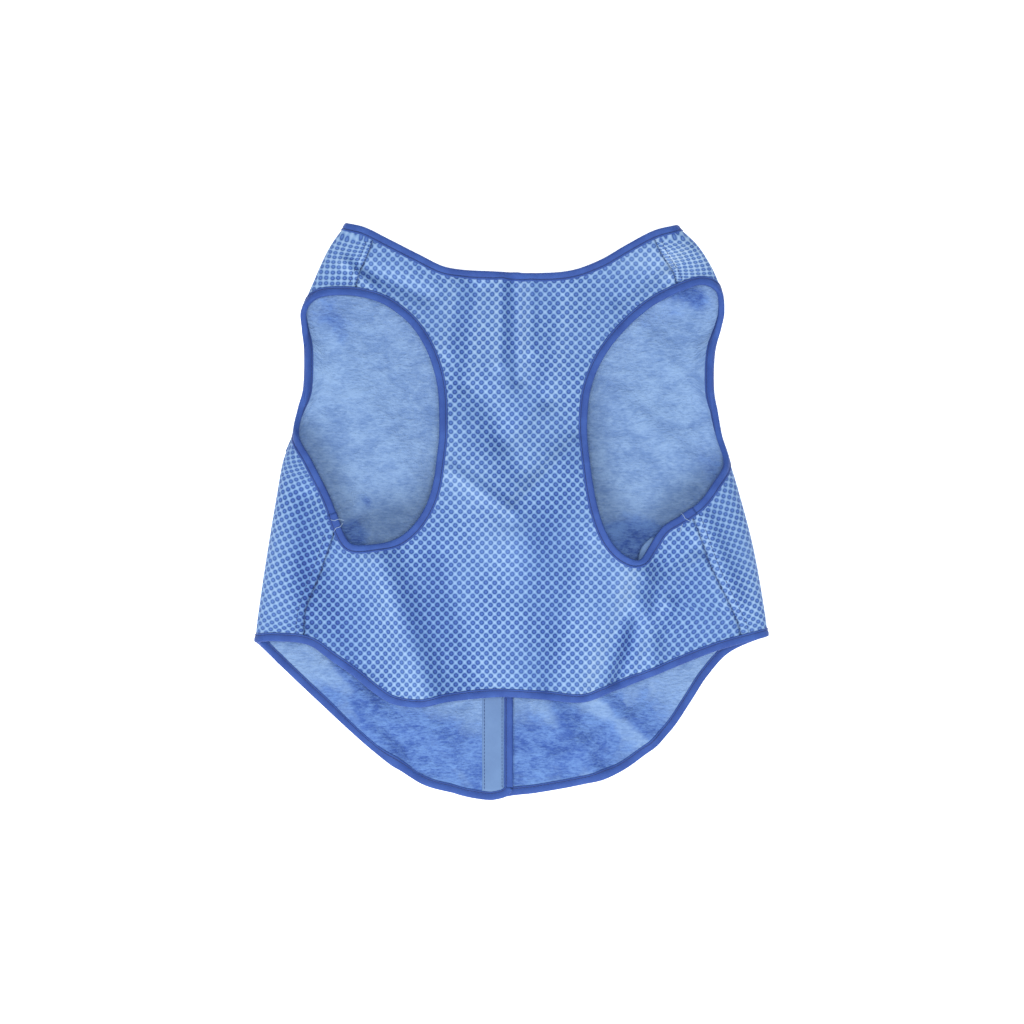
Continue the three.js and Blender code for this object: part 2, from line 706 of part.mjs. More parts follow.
const liningDepth = clothThickness + clearance;
addPiece("belly_panel", panel(bellyGrid, 0, wallThickness, true), meshCloth);
addPiece("back_panel_left", panel(leftGrid, 0, clothThickness, false), meshCloth);
addPiece("back_panel_right", panel(rightGrid, 0, clothThickness, false), meshCloth);
addPiece("back_lining_left", panel(leftGrid, liningDepth, wallThickness, false), liningCloth);
addPiece("back_lining_right", panel(rightGrid, liningDepth, wallThickness, false), liningCloth);
addPiece("neck_binding", bindingGeometry(neckPath, false, neckSide), bindingTape);
addPiece("hem_binding", bindingGeometry(hemPath, false, hemSide), bindingTape);
addPiece("leg_hole_binding_left", bindingGeometry(holePathLeft, true, holeSideLeft), bindingTape);
addPiece("leg_hole_binding_right", bindingGeometry(holePathRight, true, holeSideRight), bindingTape);
addPiece("closure_binding_left", closureBinding(-1), bindingTape);
addPiece("closure_binding_right", closureBinding(1), bindingTape);
addPiece("closure_facing", facing(), facingTape);
addPiece("closure_tape", closureTape(), fasteningTape);

// The origin lies on the floor under the middle of the vest
const extent = new THREE.Box3().setFromObject(vest);
const middle = extent.getCenter(new THREE.Vector3());
vest.position.set(-middle.x, -middle.y, -extent.min.z);

export default vest;
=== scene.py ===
# %% [markdown]
# # A cooling vest for a dog
# The vest lies on its fastened back with the belly panel up. It is sewn from a thin mesh cloth with
# a lattice of dots. Soft plush lines the back, and a folded tape binds every edge.
# The solid model gives each piece its place. Here every piece becomes thin cloth with seams,
# stitches and folds. All cloth is laid on one shared surface, so that the layers never cross.

import math

import bmesh
import bpy
import numpy as np
from mathutils import Matrix, Vector


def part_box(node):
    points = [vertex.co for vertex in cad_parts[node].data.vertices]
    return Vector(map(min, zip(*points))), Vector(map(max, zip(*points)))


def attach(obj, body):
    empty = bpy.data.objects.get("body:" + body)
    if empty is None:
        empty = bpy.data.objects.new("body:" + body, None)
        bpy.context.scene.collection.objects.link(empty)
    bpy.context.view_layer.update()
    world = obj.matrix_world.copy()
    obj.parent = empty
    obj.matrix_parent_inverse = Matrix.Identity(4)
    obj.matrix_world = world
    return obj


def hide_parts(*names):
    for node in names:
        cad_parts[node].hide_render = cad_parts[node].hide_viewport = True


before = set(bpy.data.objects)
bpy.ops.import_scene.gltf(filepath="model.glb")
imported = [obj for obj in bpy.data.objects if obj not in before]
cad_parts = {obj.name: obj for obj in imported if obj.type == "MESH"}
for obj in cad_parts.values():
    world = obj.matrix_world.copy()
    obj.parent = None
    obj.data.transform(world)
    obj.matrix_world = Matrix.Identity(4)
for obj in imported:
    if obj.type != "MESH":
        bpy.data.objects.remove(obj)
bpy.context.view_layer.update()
print("pieces in the frame:", sorted(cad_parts))

# %% [markdown]
# ## Sizes
# A sewing pattern is worked out in millimetres, so these sizes are too. Blender counts in metres,
# and a point becomes metres only when it is given to a mesh.

# %% Driving sizes in millimetres
MM = 0.001
VEST_LENGTH = 463.4
HEM_WIDTH = 410.8
HALF_HEM = HEM_WIDTH / 2
FOLD_HEIGHT = 12.0
FOLD_REACH = 18.0
LIP_REACH = 32.0
CLOTH = 1.1
LINING = 1.1
CLEARANCE = 0.3
BINDING_WIDTH = 7.1
BINDING_THICKNESS = 0.8
RIGHT_EDGE_X = -30.0
LEFT_EDGE_X = 1.0
RAMP_WIDTH = 16.0
RAMP_GAP = 1.0
FACING_WIDTH = 17.4
FACING_OUTER = LEFT_EDGE_X - BINDING_WIDTH - CLEARANCE
CLOSURE_PLACE = 5.0

WALL = CLOTH + CLEARANCE + LINING
BINDING_REACH = BINDING_THICKNESS + CLEARANCE
LIFT = BINDING_REACH
OVERLAP_RISE = WALL + BINDING_REACH + CLEARANCE + BINDING_REACH

# %% [markdown]
# ## Pattern tables
# Each table is a short list of measured places. Across is a share of half the hem's width, and
# down is a share of the vest's length. A smooth curve runs through each column.

# %% Cross sections: down, left, right, crown, lip
SECTIONS = np.array([
    (0.0, 0.642, 0.63, 0.062, 0.0),
    (0.043, 0.711, 0.732, 0.066, 0.0),
    (0.109, 0.78, 0.812, 0.07, 0.0),
    (0.154, 0.818, 0.825, 0.075, 0.0),
    (0.18, 0.816, 0.815, 0.078, 0.0),
    (0.226, 0.811, 0.794, 0.084, 0.9),
    (0.287, 0.815, 0.79, 0.091, 0.9),
    (0.325, 0.832, 0.8, 0.095, 0.1),
    (0.34, 0.84, 0.805, 0.0965, 0.0),
    (0.373, 0.857, 0.818, 0.1, 0.0),
    (0.411, 0.891, 0.848, 0.105, 0.0),
    (0.468, 0.915, 0.887, 0.109, 0.0),
    (0.558, 0.949, 0.94, 0.107, 0.0),
    (0.654, 0.982, 0.98, 0.096, 0.0),
    (0.725, 1.0, 1.0, 0.084, 0.0),
    (0.85, 1.0, 1.0, 0.07, 0.0),
    (1.0, 1.0, 1.0, 0.064, 0.0),
])

# %% Necklines and hems: across, down
FRONT_NECK = np.array([
    (-0.642, 0.001), (-0.572, 0.009), (-0.482, 0.029), (-0.363, 0.056), (-0.25, 0.079),
    (-0.05, 0.0865), (0.093, 0.089), (0.232, 0.084), (0.344, 0.066), (0.441, 0.041),
    (0.552, 0.015), (0.64, 0.0045),
])
BACK_NECK = np.array([
    (-0.642, 0.001), (-0.56, 0.02), (-0.45, 0.049), (-0.3, 0.084), (-0.15, 0.104),
    (0.0, 0.11), (0.15, 0.105), (0.3, 0.086), (0.45, 0.053), (0.56, 0.024), (0.64, 0.0045),
])
FRONT_HEM = np.array([
    (-1.0, 0.726), (-0.923, 0.7235), (-0.79, 0.73), (-0.704, 0.756), (-0.619, 0.7825),
    (-0.535, 0.8125), (-0.467, 0.831), (-0.36, 0.837), (-0.25, 0.828), (-0.05, 0.8195),
    (0.123, 0.8236), (0.271, 0.829), (0.377, 0.8125), (0.545, 0.784), (0.8, 0.7395),
    (1.0, 0.7155),
])
BACK_HEM = np.array([
    (-1.0, 0.726), (-0.932, 0.756), (-0.78, 0.82), (-0.585, 0.899), (-0.467, 0.939),
    (-0.357, 0.972), (-0.248, 0.9865), (-0.09, 1.0), (0.0, 0.993), (0.1, 0.988),
    (0.309, 0.97), (0.428, 0.951), (0.545, 0.913), (0.63, 0.876), (0.7, 0.83),
    (0.764, 0.786), (0.85, 0.745), (1.0, 0.7155),
])

NECK, HEM = (FRONT_NECK, BACK_NECK), (FRONT_HEM, BACK_HEM)

# %% Leg holes, round their bound edge: across, down
LEG_HOLE_LEFT = np.array([
    (-0.79, 0.147), (-0.735, 0.13), (-0.66, 0.1265), (-0.566, 0.131), (-0.48, 0.145),
    (-0.395, 0.175), (-0.33, 0.22), (-0.292, 0.27), (-0.28, 0.34), (-0.288, 0.405),
    (-0.308, 0.465), (-0.35, 0.508), (-0.41, 0.538), (-0.48, 0.552), (-0.632, 0.554),
    (-0.657, 0.54), (-0.68, 0.495), (-0.742, 0.439), (-0.8, 0.376), (-0.87, 0.33),
    (-0.88, 0.25), (-0.87, 0.18),
])
LEG_HOLE_RIGHT = np.array([
    (0.845, 0.16), (0.815, 0.135), (0.785, 0.118), (0.735, 0.1085), (0.664, 0.117),
    (0.53, 0.149), (0.426, 0.193), (0.345, 0.242), (0.3, 0.295), (0.292, 0.36),
    (0.308, 0.435), (0.338, 0.505), (0.385, 0.557), (0.441, 0.577), (0.505, 0.582),
    (0.532, 0.56), (0.566, 0.529), (0.65, 0.506), (0.733, 0.479), (0.79, 0.436),
    (0.822, 0.408), (0.828, 0.385), (0.85, 0.35), (0.88, 0.28), (0.87, 0.2),
])

# %% Seams between the belly panel and the back panels: down, left, right
SEAMS = np.array([
    (-0.05, -0.53, 0.53), (0.034, -0.544, 0.56), (0.109, -0.607, 0.646), (0.2, -0.6, 0.62),
    (0.45, -0.62, 0.62), (0.51, -0.675, 0.7), (0.5456, -0.696, 0.731), (0.6, -0.742, 0.778),
    (0.666, -0.797, 0.852), (0.7, -0.806, 0.886), (0.9, -0.83, 0.95),
])

# %% [markdown]
# ## Soft folds
# The cloth isn't stiff. Ridges and valleys run down from the neckline, and slantwise from the
# bottom of each leg hole to the hem. Each row is a line with a height and a width, and its
# height fades to both sides like a bell.

# %% Folds: across, down, to across, to down, rise, width
FOLDS = [
    (-0.51, 0.585, -0.32, 0.82, 10.0, 15.0),
    (-0.725, 0.6, -0.572, 0.76, -4.0, 14.0),
    (-0.27, 0.58, -0.13, 0.79, -3.5, 13.0),
    (0.51, 0.61, 0.335, 0.81, 9.0, 12.0),
    (0.29, 0.56, 0.16, 0.8, -3.5, 11.0),
    (0.485, 0.69, 0.415, 0.79, -5.0, 8.0),
    (0.19, 0.43, 0.05, 0.54, 5.0, 19.0),
    (0.05, 0.54, 0.03, 0.77, 4.5, 21.0),
    (-0.19, 0.36, -0.05, 0.56, 3.0, 18.0),
    (0.5, 0.653, 0.558, 0.77, 3.0, 8.0),
    (0.609, 0.661, 0.5, 0.77, 2.5, 6.0),
    (-0.233, 0.43, 0.001, 0.499, 2.5, 6.0),
    (0.001, 0.499, 0.239, 0.383, 2.5, 6.0),
    (-0.038, 0.1, -0.046, 0.245, 3.0, 5.0),
    (0.075, 0.1, 0.071, 0.221, 2.5, 5.0),
    (0.017, 0.104, 0.024, 0.273, -3.0, 5.5),
    (-0.131, 0.117, -0.182, 0.281, -3.0, 7.0),
    (-0.209, 0.109, -0.248, 0.221, 2.5, 6.0),
    (0.188, 0.135, 0.141, 0.307, -2.5, 8.0),
    (-0.794, 0.477, -0.774, 0.687, -4.5, 9.0),
    (-0.591, 0.079, -0.338, 0.128, -3.0, 7.0),
    (-0.104, 0.307, 0.032, 0.428, -3.0, 12.0),
    (0.11, 0.307, -0.026, 0.376, -2.5, 9.0),
    (0.694, 0.558, 0.558, 0.609, -3.0, 7.0),
    (0.733, 0.584, 0.609, 0.653, 3.0, 6.0),
    (0.753, 0.515, 0.87, 0.653, 3.0, 8.0),
    (-0.649, 0.069, -0.544, 0.109, 3.0, 4.0),
    (0.422, 0.135, 0.597, 0.069, -2.5, 7.0),
    (0.694, 0.048, 0.624, 0.092, 2.5, 5.0),
]

# %% Folds of the back, seen through the leg holes and below the hem: the same columns
BACK_FOLDS = [
    (0.297, 0.571, 0.593, 0.558, 9.0, 9.0),
    (-0.688, 0.535, -0.591, 0.489, 5.0, 7.0),
    (0.694, 0.135, 0.5, 0.117, 4.0, 9.0),
    (-0.708, 0.77, -0.435, 0.877, 4.0, 8.0),
    (-0.544, 0.808, -0.357, 0.937, -3.0, 9.0),
    (-0.63, 0.834, -0.455, 0.929, 3.5, 7.0),
    (0.13, 0.825, 0.344, 0.955, 3.5, 9.0),
    (0.344, 0.825, 0.538, 0.894, 4.0, 8.0),
    (0.5, 0.808, 0.344, 0.929, -3.0, 9.0),
    (0.188, 0.929, 0.5, 0.851, 3.0, 7.0),
    (-0.708, 0.186, -0.591, 0.307, 2.5, 11.0),
    (-0.513, 0.342, -0.357, 0.48, 2.5, 12.0),
    (0.422, 0.307, 0.694, 0.411, 2.5, 10.0),
    (0.5, 0.186, 0.694, 0.273, 2.5, 10.0),
    (-0.279, 0.894, -0.163, 0.955, 2.5, 8.0),
]

# %% [markdown]
# ## One surface for all cloth
# A spot on the cloth has a place w across and a height y. The place is 0 in the middle of the
# belly, 1 on the side fold, 2 where the back lies flat and 5 at the closure edge. It is negative
# on the left. Numpy works out thousands of spots at once.

# %% Small curve helpers
def y_at(down):
    return VEST_LENGTH * (0.5 - down)


def down_at(y):
    return 0.5 - y / VEST_LENGTH


def mix(a, b, t):
    return a + (b - a) * t


def smooth(t):
    t = np.clip(t, 0.0, 1.0)
    return t * t * (3 - 2 * t)


def along(keys, values, at):
    """A smooth curve through a table's column, level past both ends."""
    at = np.clip(at, keys[0], keys[-1])
    before = np.maximum(np.arange(len(keys)) - 1, 0)
    after = np.minimum(np.arange(len(keys)) + 1, len(keys) - 1)
    slopes = (values[after] - values[before]) / (keys[after] - keys[before])
    i = np.clip(np.searchsorted(keys, at, side="right") - 1, 0, len(keys) - 2)
    span = keys[i + 1] - keys[i]
    t = (at - keys[i]) / span
    weight = 2 * t**3 - 3 * t**2 + 1
    bend = (t**3 - 2 * t**2 + t) * slopes[i] + (t**3 - t**2) * slopes[i + 1]
    return weight * values[i] + (1 - weight) * values[i + 1] + span * bend


# %% The relief of the belly panel and of the back
def bell_line(x, y, across, down, to_across, to_down, width):
    start = np.array([across * HALF_HEM, y_at(down)])
    run = np.array([to_across * HALF_HEM, y_at(to_down)]) - start
    share = np.clip(((x - start[0]) * run[0] + (y - start[1]) * run[1]) / run.dot(run), 0, 1)
    distance = np.hypot(x - start[0] - share * run[0], y - start[1] - share * run[1])
    return np.exp(-((distance / width) ** 2))


def add_folds(rise, folds, x, y):
    for *line, height, width in folds:
        rise += height * bell_line(x, y, *line, width)
    return rise


def belly_rise(x, y):
    rise = add_folds(np.zeros_like(x), FOLDS, x, y)
    rise += 0.5 * np.sin(x / 17 + 1.1) * np.sin(y / 29 + 0.4)
    rise += 0.35 * np.sin((x + 0.6 * y) / 9.5) * np.sin((y - 0.4 * x) / 21)
    return rise


def back_rise(x, y):
    rise = 1.2 + 0.6 * np.sin(x / 19 + 0.7) * np.sin(y / 33)
    rise = add_folds(rise, BACK_FOLDS, x, y)
    rise += 0.3 * np.sin((x - 0.5 * y) / 11) * np.sin((y + 0.3 * x) / 17 + 1.3)
    return np.maximum(rise, 0.0)


# %% The outside of the cloth, as x, y and z for each spot
def section(y, side):
    """The width, the height of the crown, and the reach and share of the lip at each height."""
    keys, *columns = SECTIONS.T
    left, right, crown, lip = (along(keys, column, down_at(y)) for column in columns)
    reach = HALF_HEM * np.where(side < 0, left, right)
    return reach, HEM_WIDTH * crown, mix(FOLD_REACH, LIP_REACH, lip), lip


def outside(w, y):
    side = np.where(w < 0, -1.0, 1.0)
    place = np.abs(w)
    reach, crown, roll, lip = section(y, side)
    angle = (1 - (1 - np.clip(place, 0, 1)) ** 2) * math.pi / 2
    x = side * reach * np.sin(angle)
    z = FOLD_HEIGHT + (crown - FOLD_HEIGHT) * np.sqrt(np.maximum(0, np.cos(angle)))
    z = z + belly_rise(x, y) * smooth((1 - place) / 0.5)

    t = np.clip(place - 1, 0, 1)
    inward = mix(1 - np.cos(t * math.pi / 2), t, lip)
    height = mix(1 - np.sin(t * math.pi / 2), (1 - t) ** 2, lip)
    fold_x = side * (reach - roll * inward)
    fold_z = LIFT + (FOLD_HEIGHT - LIFT) * height
    x = np.where(place > 1, fold_x, x)
    z = np.where(place > 1, fold_z, z)

    flat_x = side * (reach - roll)
    ramp_end = RIGHT_EDGE_X - RAMP_GAP
    ramp_start = ramp_end - RAMP_WIDTH
    right_x = mix(flat_x, RIGHT_EDGE_X, (place - 2) / 3)
    ramp_x = mix(ramp_start, ramp_end, place - 3)
    left_x = np.where(place <= 3, mix(flat_x, ramp_start, place - 2), ramp_x)
    left_x = np.where(place > 4, mix(ramp_end, LEFT_EDGE_X, place - 4), left_x)
    climb = np.where(side < 0, OVERLAP_RISE * smooth(place - 3), 0.0)
    back_x = np.where(side < 0, left_x, right_x)
    x = np.where(place > 2, back_x, x)
    z = np.where(place > 2, LIFT + climb, z)
    calm = 1 - 0.8 * smooth((40 - np.abs(x + 14)) / 20)
    z = z + back_rise(x, y) * smooth((place - 1.5) / 0.8) * calm
    return np.stack([x, y + 0 * x, z], axis=-1)


# %% The way into the wall at each spot
STEP = 0.01


def directions(w, y):
    side = np.where(w < 0, -1.0, 1.0)
    place = np.abs(w)
    beyond = place >= 1
    low = np.where(beyond, np.maximum(1, place - STEP), np.maximum(-STEP, place - STEP))
    high = np.where(beyond, place + STEP, np.minimum(1, place + STEP))
    across = (outside(side * high, y) - outside(side * low, y)) * (side / (high - low))[..., None]
    upward = (outside(w, y + 1) - outside(w, y - 1)) * 0.5
    return across, upward


def unit(vectors):
    return vectors / np.maximum(np.linalg.norm(vectors, axis=-1, keepdims=True), 1e-9)


def inward_normal(w, y):
    across, upward = directions(w, y)
    return unit(np.cross(upward, across))


def wall_point(w, y, depth):
    depth = np.asarray(depth, float)
    return outside(w, y) + inward_normal(w, y) * depth[..., None]


def place_of(x, y):
    side = np.where(x < 0, -1.0, 1.0)
    share = np.clip(np.abs(x) / section(y, side)[0], 0, 1)
    return side * (1 - np.sqrt(1 - np.arcsin(share) * 2 / math.pi))


def walk(w, y, heading, distance):
    """Walks over the cloth from each spot in its own heading."""
    count = max(1, round(abs(distance) / 0.5))
    length = distance / count
    w, y, heading = w.copy(), y.copy(), heading.copy()
    for _ in range(count):
        across, upward = directions(w, y)
        aa = (across * across).sum(-1)
        ab = (across * upward).sum(-1)
        bb = (upward * upward).sum(-1)
        a = (across * heading).sum(-1)
        b = (upward * heading).sum(-1)
        scale = aa * bb - ab * ab
        start = outside(w, y)
        w = w + length * (a * bb - b * ab) / scale
        y = y + length * (b * aa - a * ab) / scale
        heading = unit((outside(w, y) - start) / length)
    return w, y


print("middle of the belly panel:", outside(np.array([0.0]), np.array([0.0]))[0].round(1))

# %% [markdown]
# ## Lengths over the cloth
# A lattice of dots must not stretch where the cloth turns down at the side. So a table holds the
# length over the cloth from the middle of the belly to each place, at each height. It spaces the
# grid lines evenly and gives the pattern its coordinates.

# %% Length tables for both sides
PLACES = np.concatenate([
    np.linspace(0, 1, 161), np.linspace(1, 2, 41)[1:], np.linspace(2, 5, 121)[1:],
])
HEIGHTS = np.linspace(y_at(1.03), y_at(-0.03), 120)


def length_table(side):
    w, y = np.meshgrid(side * PLACES, HEIGHTS)
    points = outside(w, y)
    steps = np.linalg.norm(np.diff(points, axis=1), axis=-1)
    return np.concatenate([np.zeros((len(HEIGHTS), 1)), np.cumsum(steps, axis=1)], axis=1)


LENGTHS = {-1: length_table(-1), 1: length_table(1)}


def between(table, columns, w, y):
    """Reads a table by place and height."""
    i = np.clip(np.searchsorted(columns, w, side="right") - 1, 0, len(columns) - 2)
    j = np.clip(np.searchsorted(HEIGHTS, y, side="right") - 1, 0, len(HEIGHTS) - 2)
    s = (w - columns[i]) / (columns[i + 1] - columns[i])
    t = (y - HEIGHTS[j]) / (HEIGHTS[j + 1] - HEIGHTS[j])
    low = mix(table[j, i], table[j, i + 1], s)
    high = mix(table[j + 1, i], table[j + 1, i + 1], s)
    return mix(low, high, t)


def cloth_length(w, y):
    left = between(LENGTHS[-1], PLACES, np.abs(w), y)
    right = between(LENGTHS[1], PLACES, np.abs(w), y)
    return np.where(w < 0, -left, right)


print("from the middle of the belly to the closure:", LENGTHS[-1][60, -1].round(), "mm")

# %% [markdown]
# ## Edges of the garment
# The neckline and the hem run round the whole garment, first over the belly and then over the
# back. The height of an edge depends on x, and x depends on the height, so a few rounds settle it.

# %% Where the neckline and the hem lie
CORNER_START, CORNER_SPAN, CORNER_HEIGHT = 4.72, 0.28, 6.5


def corner_lift(w):
    """The left panel's corner at the hem is rounded where the closure edge meets it."""
    t = np.clip((-w - CORNER_START) / CORNER_SPAN, 0, 1)
    return CORNER_HEIGHT * (1 - np.sqrt(1 - 0.98 * t**2))


def edge_height(edge, w, y, inset_down=0.0):
    """The height of an edge at each place, read at the x of a spot that is near it."""
    x = outside(w, y)[..., 0] / HALF_HEM
    front_y, back_y = (y_at(along(table[:, 0], table[:, 1], x) + inset_down) for table in edge)
    height = np.where(np.abs(w) > 1, back_y, front_y)
    return height + corner_lift(w) if edge is HEM else height


def edge_y(edge, w):
    y = np.full_like(w, y_at(edge[0][0, 1]))
    for _ in range(30):
        y = edge_height(edge, w, y)
    return y


def hem_and_neck(w, margin):
    """The heights of the hem and of the neckline at each place, both less a margin."""
    return edge_y(HEM, w) + margin, edge_y(NECK, w) - margin


def running_length(points):
    """The length of a line up to each of its points."""
    steps = np.linalg.norm(np.diff(points, axis=0), axis=-1)
    return np.concatenate([[0], np.cumsum(steps)])


def evenly(w, y, spacing, closed=False):
    """The same path with spots at an even spacing over the cloth."""
    if closed:
        w, y = np.append(w, w[0]), np.append(y, y[0])
    length = running_length(outside(w, y))
    count = round(length[-1] / spacing)
    marks = np.linspace(0, length[-1], count + 1)
    if closed:
        marks = marks[:-1]
    return np.interp(marks, length, w), np.interp(marks, length, y)


def edge_path(edge, spacing=2.2):
    w = np.concatenate([
        np.linspace(5, 2, 200), np.linspace(2, 1, 60)[1:], np.linspace(1, 0, 200)[1:],
    ])
    w = np.concatenate([w, -w[::-1][1:]])
    return evenly(w, edge_y(edge, w), spacing)


def closure_path(side):
    bottom, top = hem_and_neck(np.array([side * CLOSURE_PLACE]), 1.5)
    return np.full(160, side * CLOSURE_PLACE), np.linspace(top[0], bottom[0], 160)


# %% A smooth closed curve through the leg hole's table
def round_curve(points, fine=40):
    before = np.roll(points, 1, axis=0)
    after = np.roll(points, -1, axis=0)
    beyond = np.roll(points, -2, axis=0)
    gap = lambda a, b: np.sqrt(np.linalg.norm(b - a, axis=1, keepdims=True))
    d0, d1, d2 = gap(before, points), gap(points, after), gap(after, beyond)
    t1 = ((points - before) / d0 - (after - before) / (d0 + d1) + (after - points) / d1) * d1
    t2 = ((after - points) / d1 - (beyond - points) / (d1 + d2) + (beyond - after) / d2) * d1
    t = np.linspace(0, 1, fine, endpoint=False)[None, :, None]
    a, b, t1, t2 = points[:, None], after[:, None], t1[:, None], t2[:, None]
    curve = a + t1 * t + (3 * (b - a) - 2 * t1 - t2) * t**2 + (2 * (a - b) + t1 + t2) * t**3
    return curve.reshape(-1, 2)


def hole_path(table, spacing=2.0):
    points = np.stack([table[:, 0] * HALF_HEM, y_at(table[:, 1])], axis=1)
    curve = round_curve(points)
    closed = np.vstack([curve, curve[:1]])
    length = running_length(closed)
    marks = np.linspace(0, length[-1], 350, endpoint=False)
    x = np.interp(marks, length, closed[:, 0])
    y = np.interp(marks, length, closed[:, 1])
    w = place_of(x, y)
    for _ in range(2):
        w = sum(np.roll(w, k) for k in range(-10, 11)) / 21
    return evenly(w, y, spacing, closed=True)


# Each edge's name, with its path, whether it is closed, and the side on which its cloth lies
hole_paths = {-1: hole_path(LEG_HOLE_LEFT), 1: hole_path(LEG_HOLE_RIGHT)}
EDGES = {
    "neck_{}": (edge_path(NECK), False, -1),
    "hem_{}": (edge_path(HEM), False, 1),
    "leg_hole_{}_left": (hole_paths[-1], True, -1),
    "leg_hole_{}_right": (hole_paths[1], True, 1),
    "closure_{}_left": (closure_path(-1), False, -1),
    "closure_{}_right": (closure_path(1), False, 1),
}
print("spots on each edge:", {name.format("edge"): len(edge[0][0]) for name, edge in EDGES.items()})

# %% Headings from an edge into its cloth
def cloth_headings(path, closed, sign):
    points = outside(*path)
    if closed:
        tangent = np.roll(points, -1, axis=0) - np.roll(points, 1, axis=0)
    else:
        tangent = np.gradient(points, axis=0)
    return unit(np.cross(inward_normal(*path), unit(tangent)) * sign)


def inset(path, closed, sign, distance):
    return walk(path[0], path[1], cloth_headings(path, closed, sign), distance)


cuts = {side: inset(path, True, side, BINDING_WIDTH * 0.6) for side, path in hole_paths.items()}
print("spots on the leg holes' cut lines:", [len(cut[0]) for cut in cuts.values()])

# %% [markdown]
# ## Where the frame puts the vest
# The solid model was centred on the floor, so it is a little off the pattern's own middle. The
# fastening tape is a plain box, and its place tells the shift.

# %% The shift from pattern to frame
tape_low, tape_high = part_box("closure_tape")
neck_end = edge_y(NECK, np.array([-CLOSURE_PLACE]))[0]
tape_top = neck_end - BINDING_WIDTH - 4 * CLEARANCE
SHIFT = np.array([
    (tape_low.x + tape_high.x) / 2 / MM - (RIGHT_EDGE_X + LEFT_EDGE_X) / 2,
    tape_high.y / MM - tape_top,
    tape_low.z / MM - (LIFT + WALL + CLEARANCE),
])
print("shift in millimetres:", SHIFT.round(2))

# %% [markdown]
# ## Finishes
# Every finish is made from nodes. Cloth carries its own UV map, in metres over the cloth, so a
# pattern keeps its size and follows the folds.

# %% Node helpers
def new_material(name, roughness, sheen=0.0):
    material = bpy.data.materials.new(name)
    material.use_nodes = True
    shader = material.node_tree.nodes["Principled BSDF"]
    shader.inputs["Roughness"].default_value = roughness
    shader.inputs["Sheen Weight"].default_value = sheen
    shader.inputs["Sheen Roughness"].default_value = 0.5
    return material


def join(material, value, socket):
    """Feeds a socket with another node's output, a number, a vector or a colour."""
    if isinstance(value, bpy.types.NodeSocket):
        material.node_tree.links.new(value, socket)
    else:
        socket.default_value = (*value, 1) if socket.type == "RGBA" else value


def add(material, kind, inputs=(), **settings):
    """Adds a node with its own settings, and feeds its inputs by name."""
    node = material.node_tree.nodes.new(kind)
    for key, value in settings.items():
        setattr(node, key, value)
    for key, value in dict(inputs).items():
        join(material, value, node.inputs[key])
    return node


def read(material, attribute):
    """A number that is stored at the vertices of the piece."""
    return add(material, "ShaderNodeAttribute", attribute_name=attribute).outputs["Fac"]


def math_node(material, operation, *values):
    node = add(material, "ShaderNodeMath", operation=operation)
    for socket, value in zip(node.inputs, values):
        join(material, value, socket)
    return node.outputs[0]


def weighted_sum(material, *parts):
    total = None
    for source, weight in parts:
        part = math_node(material, "MULTIPLY", source, weight)
        total = part if total is None else math_node(material, "ADD", total, part)
    return total


def ramp(material, source, low, high, to_low=0.0, to_high=1.0):
    return add(material, "ShaderNodeMapRange", {
        "Value": source, "From Min": low, "From Max": high, "To Min": to_low, "To Max": to_high,
    }, interpolation_type="SMOOTHSTEP").outputs["Result"]


# Blender's node for mixing has several sockets of one name, so the colour ones are found by type
def mix_colors(material, factor, *colors):
    node = add(material, "ShaderNodeMix", data_type="RGBA")
    join(material, factor, node.inputs[0])
    for socket, color in zip((s for s in node.inputs if s.type == "RGBA"), colors):
        join(material, color, socket)
    return [s for s in node.outputs if s.type == "RGBA"][0]


def on_cloth(material, turn=0, scale=(1.0, 1.0)):
    """A place on the flat cloth, turned by some degrees and scaled."""
    source = add(material, "ShaderNodeUVMap", uv_map="cloth")
    return add(material, "ShaderNodeMapping", {
        "Vector": source.outputs["UV"],
        "Rotation": (0, 0, math.radians(turn)), "Scale": (*scale, 1),
    }).outputs["Vector"]


def noise(material, vector, scale, detail=2.0, roughness=0.5):
    return add(material, "ShaderNodeTexNoise", {
        "Vector": vector, "Scale": scale, "Detail": detail, "Roughness": roughness,
    }).outputs["Fac"]


def bump(material, height, distance, strength=1.0, **under):
    """Makes a relief of a height. Normal=... lays it over another relief."""
    inputs = {"Strength": strength, "Distance": distance, "Height": height, **under}
    return add(material, "ShaderNodeBump", inputs).outputs["Normal"]


def finish_material(material, color, normal):
    shader = material.node_tree.nodes["Principled BSDF"]
    join(material, color, shader.inputs["Base Color"])
    join(material, normal, shader.inputs["Normal"])


# %% [markdown]
# ## Mesh cloth
# The outer cloth is a pale net over dots of a deeper blue, in a lattice at forty-five degrees
# with 5 millimetres between neighbours. A Voronoi texture with little randomness is such a
# lattice. Its distance gives each dot a soft middle, a darker ring and a shallow hollow. The
# painted light and shade stored at each vertex make the cloth paler or darker.

# %% Mesh cloth material
DOT_PITCH = 0.005
DOT_SHADES = [
    (0.12, (0.07, 0.155, 0.44)), (0.22, (0.045, 0.115, 0.38)), (0.29, (0.02, 0.062, 0.29)),
    (0.34, (0.022, 0.066, 0.3)), (0.41, (0.12, 0.235, 0.48)), (0.5, (0.2, 0.335, 0.585)),
    (0.66, (0.3, 0.44, 0.66)),
]


